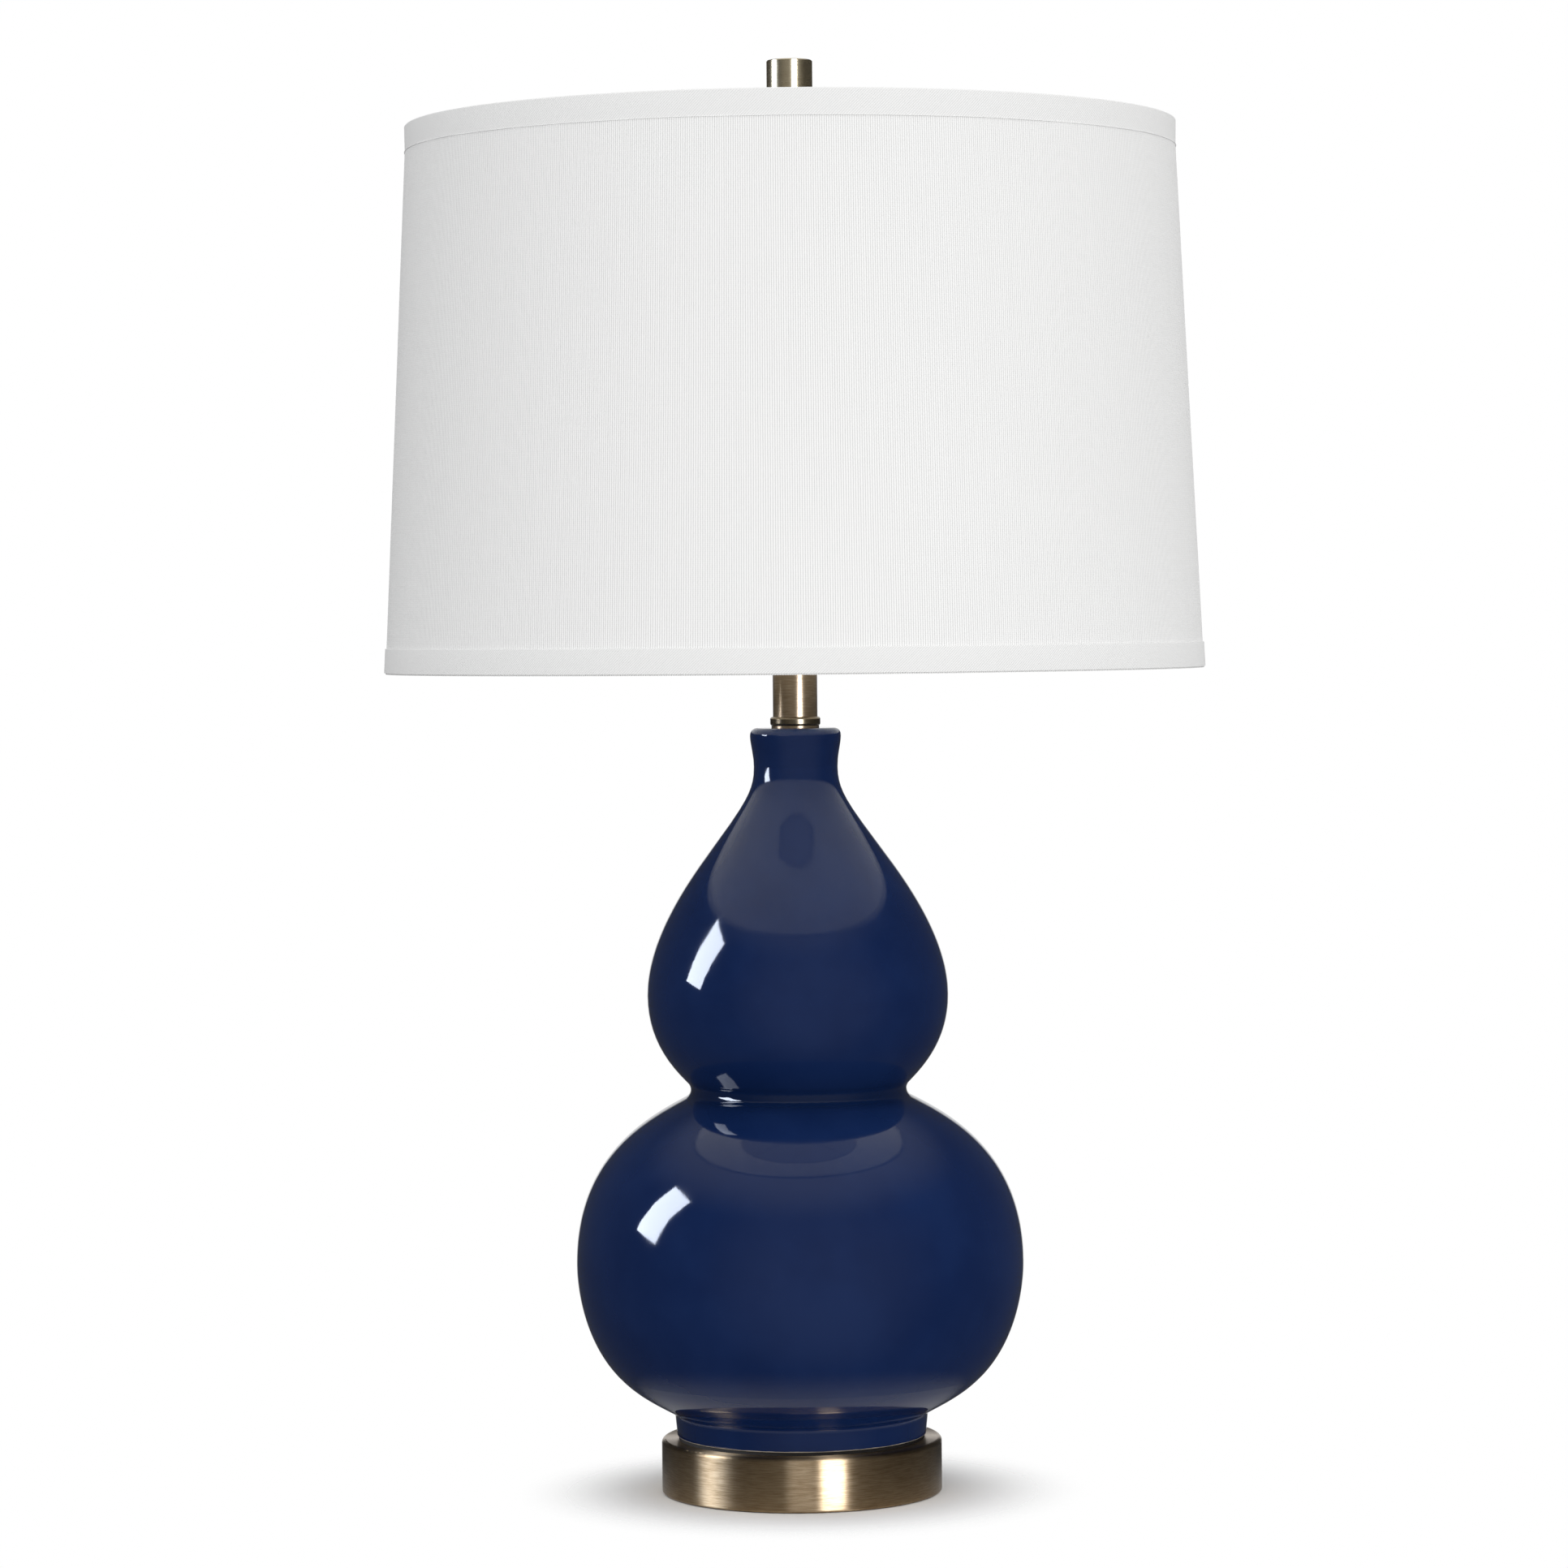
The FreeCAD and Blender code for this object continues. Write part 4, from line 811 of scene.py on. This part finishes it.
@dataclass
class Shade:
    """The cloth cover and its two folded bindings.

    Attributes:
        top_radius: outside of the cloth at the top rim.
        bottom_radius: outside of the cloth at the bottom rim.
        top_level: the top rim.
        bottom_level: the bottom rim.
        cloth: thickness of the cloth.
        overlap: how far the cloth laps over itself at the back.
        lap_rise: over what share of that overlap it climbs onto itself.
        binding: height of each binding on the outside.
        binding_inside: its height on the inside.
        binding_thickness: thickness of the folded binding.
        binding_gap: room between the binding and the cloth that it lies on.
        binding_seat: how far it is folded past the rim.
        binding_arcs: the rounding of its outer edge, its folds, its inner edge and the folds' inside.
        ring_room: room for the wire ring and its turn of cloth, inside the liner.
        pucker: how unevenly the binding lies.
        waver: how unevenly its outer edge was folded.
        liner: thickness of the liner behind the cloth.
        ripple: how far the cloth ripples between its rims.
        columns: faces round the cover.
        rows: faces up the cover.
    """

    top_radius: float = 190.2 * MM
    bottom_radius: float = 203.2 * MM
    top_level: float = 680.25 * MM
    bottom_level: float = 410.15 * MM
    cloth: float = 0.7 * MM
    overlap: float = 11.0 * MM
    lap_rise: float = 0.6
    binding: float = 12.7 * MM
    binding_inside: float = 8.0 * MM
    binding_thickness: float = 0.7 * MM
    binding_gap: float = 0.03 * MM
    binding_seat: float = 0.02 * MM
    binding_arcs: tuple[float, ...] = (0.34 * MM, 0.66 * MM, 0.3 * MM, 0.2 * MM)
    ring_room: float = 3.3 * MM
    pucker: float = 0.10 * MM
    waver: float = 0.18 * MM
    liner: float = 0.6 * MM
    ripple: float = 0.12 * MM
    columns: int = 240
    rows: int = 12
    pieces: list[bpy.types.Object] = field(default_factory=list)

    def wall_radius(self, level: float) -> float:
        """Return the outside radius of the cloth at a level.

        Args:
            level: metres above the floor.
        """
        share = (level - self.bottom_level) / (self.top_level - self.bottom_level)
        return self.bottom_radius + (self.top_radius - self.bottom_radius) * share

    def flat_size(self) -> tuple[float, float]:
        """Return the width and length that the cover was cut to."""
        girth = math.pi * (self.top_radius + self.bottom_radius) + self.overlap
        return girth, math.hypot(self.top_level - self.bottom_level, self.bottom_radius - self.top_radius)

    def make_cover(self) -> bpy.types.Object:
        """Cut the cover flat, give it thickness, and roll it into its cone with a lap at the back.

        Returns:
            The cover.
        """
        girth, slant = self.flat_size()
        made = bmesh.new()
        made.loops.layers.uv.new("flat")
        bmesh.ops.create_grid(made, x_segments=self.columns, y_segments=self.rows, size=0.5, calc_uvs=True)
        bmesh.ops.solidify(made, geom=made.faces[:], thickness=1.0)
        bmesh.ops.recalc_face_normals(made, faces=made.faces)
        layer = made.loops.layers.uv.active
        for face in made.faces:
            for loop in face.loops:
                loop[layer].uv = ((loop.vert.co.x + 0.5) * girth, (loop.vert.co.y + 0.5) * slant)
        inner = min(vert.co.z for vert in made.verts)
        lap = self.overlap / girth
        climb = self.lap_rise * lap
        climb_start = 1.0 - (1.0 + self.lap_rise) * lap
        height = self.top_level - self.bottom_level
        for vert in made.verts:
            along, up, layer_place = vert.co.x + 0.5, vert.co.y + 0.5, vert.co.z - inner
            level = self.bottom_level + height * up
            over = min(1.0, max(0.0, (along - climb_start) / climb))
            lift = self.cloth * over * over * (3 - 2 * over)
            angle = math.pi / 2 + FULL_TURN * along / (1.0 - lap)
            wave = self.ripple * noise.noise(Vector((math.cos(angle) * 2.6, math.sin(angle) * 2.6, up * 3.0)))
            radius = self.wall_radius(level) - self.cloth + self.cloth * layer_place + lift + wave * over_edge(up)
            vert.co = (radius * math.cos(angle), radius * math.sin(angle), level)
        bmesh.ops.recalc_face_normals(made, faces=made.faces)
        cover = link(settle(made, "shade_cover"), "shade_cover", SHADE_LINEN)
        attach(cover, "shade")
        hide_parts("shade_fabric")
        return cover

    def make_binding(self, name: str, node: str, rim: float, side: int) -> bpy.types.Object:
        """Fold a bias binding over a rim.

        Args:
            name: the piece's name.
            node: the solid that it stands for.
            rim: the rim's level.
            side: 1 where the binding reaches up from the rim, -1 where it reaches down.

        Returns:
            The binding.
        """
        thick = self.binding_thickness
        wall = self.cloth + self.liner
        outer_end = rim + side * self.binding
        inner_end = rim + side * self.binding_inside
        over = rim - side * self.binding_seat
        lip = rim + side * thick * 0.9
        edge = self.wall_radius(rim)
        inside = wall + self.ring_room
        outer_arc, fold_arc, inner_arc, inside_arc = self.binding_arcs
        corners = [
            Corner(self.wall_radius(outer_end) + self.binding_gap, outer_end),
            Corner(self.wall_radius(outer_end) + thick, outer_end, outer_arc),
            Corner(edge + thick, over, fold_arc),
            Corner(edge - inside - thick, over, fold_arc),
            Corner(self.wall_radius(inner_end) - inside - thick, inner_end, inner_arc),
            Corner(self.wall_radius(inner_end) - inside, inner_end),
            Corner(edge - inside, lip, inside_arc),
            Corner(edge + self.binding_gap, lip, inside_arc),
        ]
        made = turned(rounded(corners, closed=True), closed=True, steps=self.columns, start=math.pi / 2)
        for vert in made.verts:
            angle = math.atan2(vert.co.y, vert.co.x)
            around = Vector((math.cos(angle) * 9.0, math.sin(angle) * 9.0, vert.co.z * 55.0))
            outward = Vector((math.cos(angle), math.sin(angle), 0.0))
            if outward.dot(vert.co) > edge - wall:
                vert.co += outward * (self.pucker * noise.noise(around))
            if abs(vert.co.z - outer_end) < 0.4 * MM:
                fold = Vector((math.cos(angle) * 5.0, math.sin(angle) * 5.0, 2.0 * side))
                vert.co.z += self.waver * noise.noise(fold)
        mesh = settle(made, name)
        lay_flat(mesh, lambda point, middle: self.binding_layout(point, middle, edge))
        binding = link(mesh, name, BINDING_LINEN, crease=50.0)
        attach(binding, "shade")
        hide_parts(node)
        return binding

    @staticmethod
    def binding_layout(point: Vector, middle: float, edge: float) -> Point:
        """Lay a point of a binding flat.

        Args:
            point: the point.
            middle: the angle of its face about the axis.
            edge: the radius of the rim.

        Returns:
            The flat place, in metres.
        """
        angle = math.atan2(point.y, point.x)
        if angle - middle > math.pi:
            angle -= FULL_TURN
        elif middle - angle > math.pi:
            angle += FULL_TURN
        return angle * edge, point.z + edge - math.hypot(point.x, point.y)

    def make(self) -> None:
        cover = self.make_cover()
        top = self.make_binding("shade_top_binding", "shade_top_trim", self.top_level, -1)
        bottom = self.make_binding("shade_bottom_binding", "shade_bottom_trim", self.bottom_level, 1)
        self.pieces = [cover, top, bottom]


def over_edge(up: float) -> float:
    """Return how free the cloth is to ripple at a height, from 0 at the rims to 1 in the middle.

    Args:
        up: share of the cover's height.
    """
    return math.sin(math.pi * min(1.0, max(0.0, up)))


@dataclass
class Felt:
    """The felt pad under the base.

    Attributes:
        radius: its radius.
        thickness: its thickness.
        arcs: the rounding of its lower and its upper edge.
        nap: how unevenly its edge was cut.
        tufts: how often per metre the edge changes.
    """

    radius: float = 68.2 * MM
    thickness: float = 1.5 * MM
    arcs: Point = (0.45 * MM, 0.35 * MM)
    nap: float = 0.22 * MM
    tufts: float = 260.0
    pieces: list[bpy.types.Object] = field(default_factory=list)

    def make(self) -> None:
        below, above = self.arcs
        rows = [Corner(self.radius * share, 0.0) for share in (0.0, 0.25, 0.5, 0.75, 0.9)]
        upper = [Corner(corner.radius, self.thickness) for corner in reversed(rows)]
        corners = [*rows, Corner(self.radius, 0.0, below), Corner(self.radius, self.thickness, above), *upper]
        made = turned(rounded(corners, closed=False, steps=4), closed=False, steps=160)
        for vert in made.verts:
            reach = math.hypot(vert.co.x, vert.co.y)
            if reach > self.radius * 0.95:
                pull = self.nap * (noise.noise(vert.co * self.tufts) - 0.6)
                vert.co += Vector((vert.co.x, vert.co.y, 0.0)).normalized() * pull
        pad = link(settle(made, "felt_pad"), "felt_pad", FELT, crease=40.0)
        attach(pad, "stand")
        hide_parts("base_felt")
        side = 2 * self.radius
        math.pi * self.radius ** 2
        self.pieces = [pad]


@dataclass
class Hardware:
    """Every ceramic, metal, plastic and glass part that keeps its solid and gets a finish.

    Attributes:
        nodes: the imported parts, by name.
    """

    nodes: Mapping[str, bpy.types.Object]

    def make(self) -> None:
        """Put each part's finish into its material slots."""
        for name, finish in NODE_FINISHES.items():
            node = self.nodes[name]
            material = finish.make()
            for slot in node.material_slots:
                slot.material = material


@dataclass
class Softbox:
    """A flat rectangular light that shows in gloss.

    Attributes:
        name: its name.
        centre: where its middle is.
        along: the direction of its width.
        width: its width.
        height: its height.
        radiance: its brightness, where 1 is white.
        only: the parts that it shows on, or all of them.
        tint: the colour of its light.
    """

    name: str
    centre: Vector
    along: Vector
    width: float
    height: float
    radiance: float
    only: Sequence[bpy.types.Object] = ()
    tint: Colour = (1.0, 1.0, 1.0)

    def make(self, target: Vector) -> None:
        """Build the light, facing a point.

        Args:
            target: the point that it faces.
        """
        data = bpy.data.lights.new(self.name, "AREA")
        data.shape = "RECTANGLE"
        data.size = self.width
        data.size_y = self.height
        data.energy = self.radiance * math.pi * self.width * self.height
        data.color = self.tint
        light = bpy.data.objects.new(self.name, data)
        bpy.context.scene.collection.objects.link(light)
        back = (self.centre - target).normalized()
        right = (self.along - back * self.along.dot(back)).normalized()
        up = back.cross(right)
        turn = Matrix((right, up, back)).transposed()
        light.matrix_world = Matrix.Translation(self.centre) @ turn.to_4x4()
        light.visible_camera = False
        light.visible_diffuse = False
        if self.only:
            group = bpy.data.collections.new(self.name + "_receivers")
            for part in self.only:
                group.objects.link(part)
            light.light_linking.receiver_collection = group


@dataclass(frozen=True)
class Strip:
    """An upright strip of light at the front, which shows on brass alone.

    Attributes:
        name: its name.
        bearing: how far round to the right it stands, in degrees.
        width: its width.
        radiance: its brightness, where 1 is white.
        base_only: whether only the base shows it.
    """

    name: str
    bearing: float
    width: float
    radiance: float
    base_only: bool = False


STRIPS = (Strip("strip_right", 25.0, 0.74, 18.0), Strip("strip_front", -1.5, 0.80, 1.6, base_only=True))


@dataclass
class Studio:
    """The camera, the pale floor, the even light, the softbox and the strips.

    Attributes:
        camera_place: where the camera stands.
        pitch: how far it looks down, in radians.
        roll: how far it leans, in radians.
        focal_length: the lens, in millimetres on a 36 mm sensor.
        floor_radius: how far the floor reaches.
        floor_fade: the shares of that radius between which it fades into the white around it.
        hidden_radius: the part of it under the base, left clear so that the felt can be seen from below.
        paper: how pale its paper is, between its specks and on them.
        even: the light that comes from everywhere.
        side: how much more comes from the key's direction.
        least: the light from the darkest side.
        key: the direction that the light favours.
        room: how bright the studio looks in gloss, where 1 is white.
        front: how much brighter it looks round the photographer.
        front_lean: how far that brighter part leans to the right.
        front_fade: between which shares of the way to the front it brightens.
        ceiling: how bright it looks overhead.
        ceiling_fade: between which heights of a direction it turns into the ceiling.
        backdrop: between which depths of a direction the gloss shows the white backdrop.
        softbox_place: where the softbox stands.
        softbox_along: the direction of its width.
        softbox_target: the point that it faces.
        softbox_size: its width and height.
        softbox_radiance: how bright it is for every part, and how much is added for brass.
        strip_reach: how far in front of the lamp the strips stand.
        strip_level: the height of their middles.
        strip_height: their height.
    """

    camera_place: Vector = field(default_factory=lambda: Vector((-5.9, -2588.97, 436.755)) * MM)
    pitch: float = 0.0321138
    roll: float = math.radians(0.53)
    focal_length: float = 119.34
    floor_radius: float = 0.15
    floor_fade: Point = (0.44, 0.97)
    hidden_radius: float = 66.0 * MM
    paper: Point = (0.84, 0.88)
    even: float = 0.66
    side: float = 0.73
    least: float = 0.22
    key: Vector = field(default_factory=lambda: Vector((0.207, -0.679, 0.705)))
    room: float = 0.055
    front: float = 0.14
    front_lean: float = 0.2
    front_fade: Point = (0.3, 1.0)
    ceiling: float = 0.50
    ceiling_fade: Point = (0.50, 0.95)
    backdrop: Point = (0.965, 0.985)
    softbox_place: Vector = field(default_factory=lambda: Vector((-1.806, -0.226, 0.963)))
    softbox_along: Vector = field(default_factory=lambda: Vector((-0.04, -0.975, -0.217)))
    softbox_target: Vector = field(default_factory=lambda: Vector((-0.055, -0.068, 0.21)))
    softbox_size: Point = (0.55, 1.02)
    softbox_radiance: Point = (19.0, 11.0)
    strip_reach: float = 2.2
    strip_level: float = 0.50
    strip_height: float = 2.4

    def make_camera(self) -> None:
        """Put the camera where the photograph was taken."""
        data = bpy.data.cameras.new("camera")
        data.lens = self.focal_length
        data.sensor_width = 36.0
        camera = bpy.data.objects.new("camera", data)
        bpy.context.scene.collection.objects.link(camera)
        upright = Matrix.Rotation(math.pi / 2 - self.pitch, 4, "X")
        camera.matrix_world = Matrix.Translation(self.camera_place) @ upright @ Matrix.Rotation(-self.roll, 4, "Z")
        bpy.context.scene.camera = camera

    def make_floor(self) -> None:
        """Lay a pale floor that takes the lamp's shadow and fades into the white round it."""
        made = bmesh.new()
        bmesh.ops.create_circle(made, cap_ends=True, segments=96, radius=self.floor_radius)
        material = bpy.data.materials.new("pale_floor")
        material.use_nodes = True
        graph = Graph(material.node_tree)
        place = graph.place()
        speck = graph.noise(place.vector, 700.0, 2.0)
        dull, bright = (opaque((level, level, level)) for level in self.paper)
        paper = graph.node("ShaderNodeBsdfDiffuse", inputs={"Color": graph.mix(speck, dull, bright)})
        clear = graph.node("ShaderNodeBsdfTransparent")
        rim = graph.fade(place.radius, *(self.floor_radius * share for share in self.floor_fade))
        hidden = graph.fade(place.radius, self.hidden_radius - 0.5 * MM, self.hidden_radius, 1.0, 0.0)
        behind = Value(graph, graph.node("ShaderNodeNewGeometry").outputs["Backfacing"])
        share = rim.at_least(hidden).at_least(behind)
        sheet = graph.node("ShaderNodeMixShader", inputs={0: share, 1: paper.outputs[0], 2: clear.outputs[0]})
        graph.node("ShaderNodeOutputMaterial", inputs={"Surface": sheet.outputs[0]})
        mesh = settle(made, "floor")
        mesh.materials.append(material)
        floor = bpy.data.objects.new("floor", mesh)
        bpy.context.scene.collection.objects.link(floor)

    def make_world(self) -> None:
        """Fill the room: white behind the lamp, a grey studio in its gloss, and soft light from the key's side."""
        world = bpy.data.worlds.new("studio")
        bpy.context.scene.world = world
        world.use_nodes = True
        world.cycles.sampling_method = "NONE"
        graph = Graph(world.node_tree)
        direction = graph.node("ShaderNodeTexCoord").outputs["Generated"]
        x, y, z = graph.split(direction)
        key = self.key.normalized()
        toward = x * key.x + y * key.y + z * key.z
        soft = (self.even + toward * self.side).at_least(self.least)
        facing = x * self.front_lean - y
        room = graph.fade(z, *self.ceiling_fade, self.room, self.ceiling)
        room = room + graph.fade(facing, *self.front_fade, 0.0, self.front)
        backdrop = graph.fade(y, *self.backdrop)
        gloss = room + backdrop * (1.0 - room)
        rays = graph.node("ShaderNodeLightPath").outputs
        glossy = Value(graph, rays["Is Glossy Ray"])
        seen = Value(graph, rays["Is Camera Ray"]).at_least(Value(graph, rays["Is Transmission Ray"]))
        level = soft * (1.0 - glossy) + gloss * glossy
        strength = level * (1.0 - seen) + seen
        sky = graph.node("ShaderNodeBackground", inputs={"Color": opaque((1.0, 1.0, 1.0)), "Strength": strength})
        graph.node("ShaderNodeOutputWorld", inputs={"Surface": sky.outputs[0]})

    def make_lights(self, metals: Sequence[bpy.types.Object]) -> None:
        """Place the softbox at the left and the strips at the front.

        Args:
            metals: the parts that the strips show on, the base first.
        """
        for_all, for_brass = self.softbox_radiance
        for name, radiance, only, tint in (
            ("softbox_left", for_all, (), DAYLIGHT), ("softbox_left_on_metal", for_brass, metals, SKYLIGHT)
        ):
            left = Softbox(name, self.softbox_place, self.softbox_along, *self.softbox_size, radiance, only, tint)
            left.make(self.softbox_target)
        for strip in STRIPS:
            bearing = math.radians(strip.bearing)
            forward = Vector((math.sin(bearing), -math.cos(bearing), 0.0))
            along = Vector((math.cos(bearing), math.sin(bearing), 0.0))
            middle = Vector((0.0, 0.0, self.strip_level))
            shown_on = metals[:1] if strip.base_only else metals
            light = Softbox(
                strip.name, middle + forward * self.strip_reach, along, strip.width, self.strip_height,
                strip.radiance, shown_on, DAYLIGHT,
            )
            light.make(middle)

    def make(self, metals: Sequence[bpy.types.Object]) -> None:
        """Build the whole studio.

        Args:
            metals: the parts that the strips show on, the base first.
        """
        self.make_camera()
        self.make_floor()
        self.make_world()
        self.make_lights(metals)
        bpy.context.scene.view_settings.view_transform = "Standard"


# ---------------------------------------------------------------- the lamp


def clear_defaults() -> None:
    """Remove the objects that a new file starts with."""
    for name in ("Cube", "Light", "Camera"):
        known = bpy.data.objects.get(name)
        if known is not None:
            bpy.data.objects.remove(known)


def main() -> None:
    """Dress the frame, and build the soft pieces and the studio."""
    logging.basicConfig(level=logging.INFO, format="%(name)s: %(message)s")
    clear_defaults()
    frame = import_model()
    Hardware(frame["nodes"]).make()
    LOG.info("finished %d solid parts", len(NODE_FINISHES))
    for assembly in (Felt(), Shade()):
        assembly.make()
        for piece in assembly.pieces:
            LOG.info("%s: %d faces", piece.name, len(piece.data.polygons))
    Studio().make([frame["nodes"][name] for name in STRIP_LIT_NODES])
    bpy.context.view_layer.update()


if __name__ == "__main__":
    main()
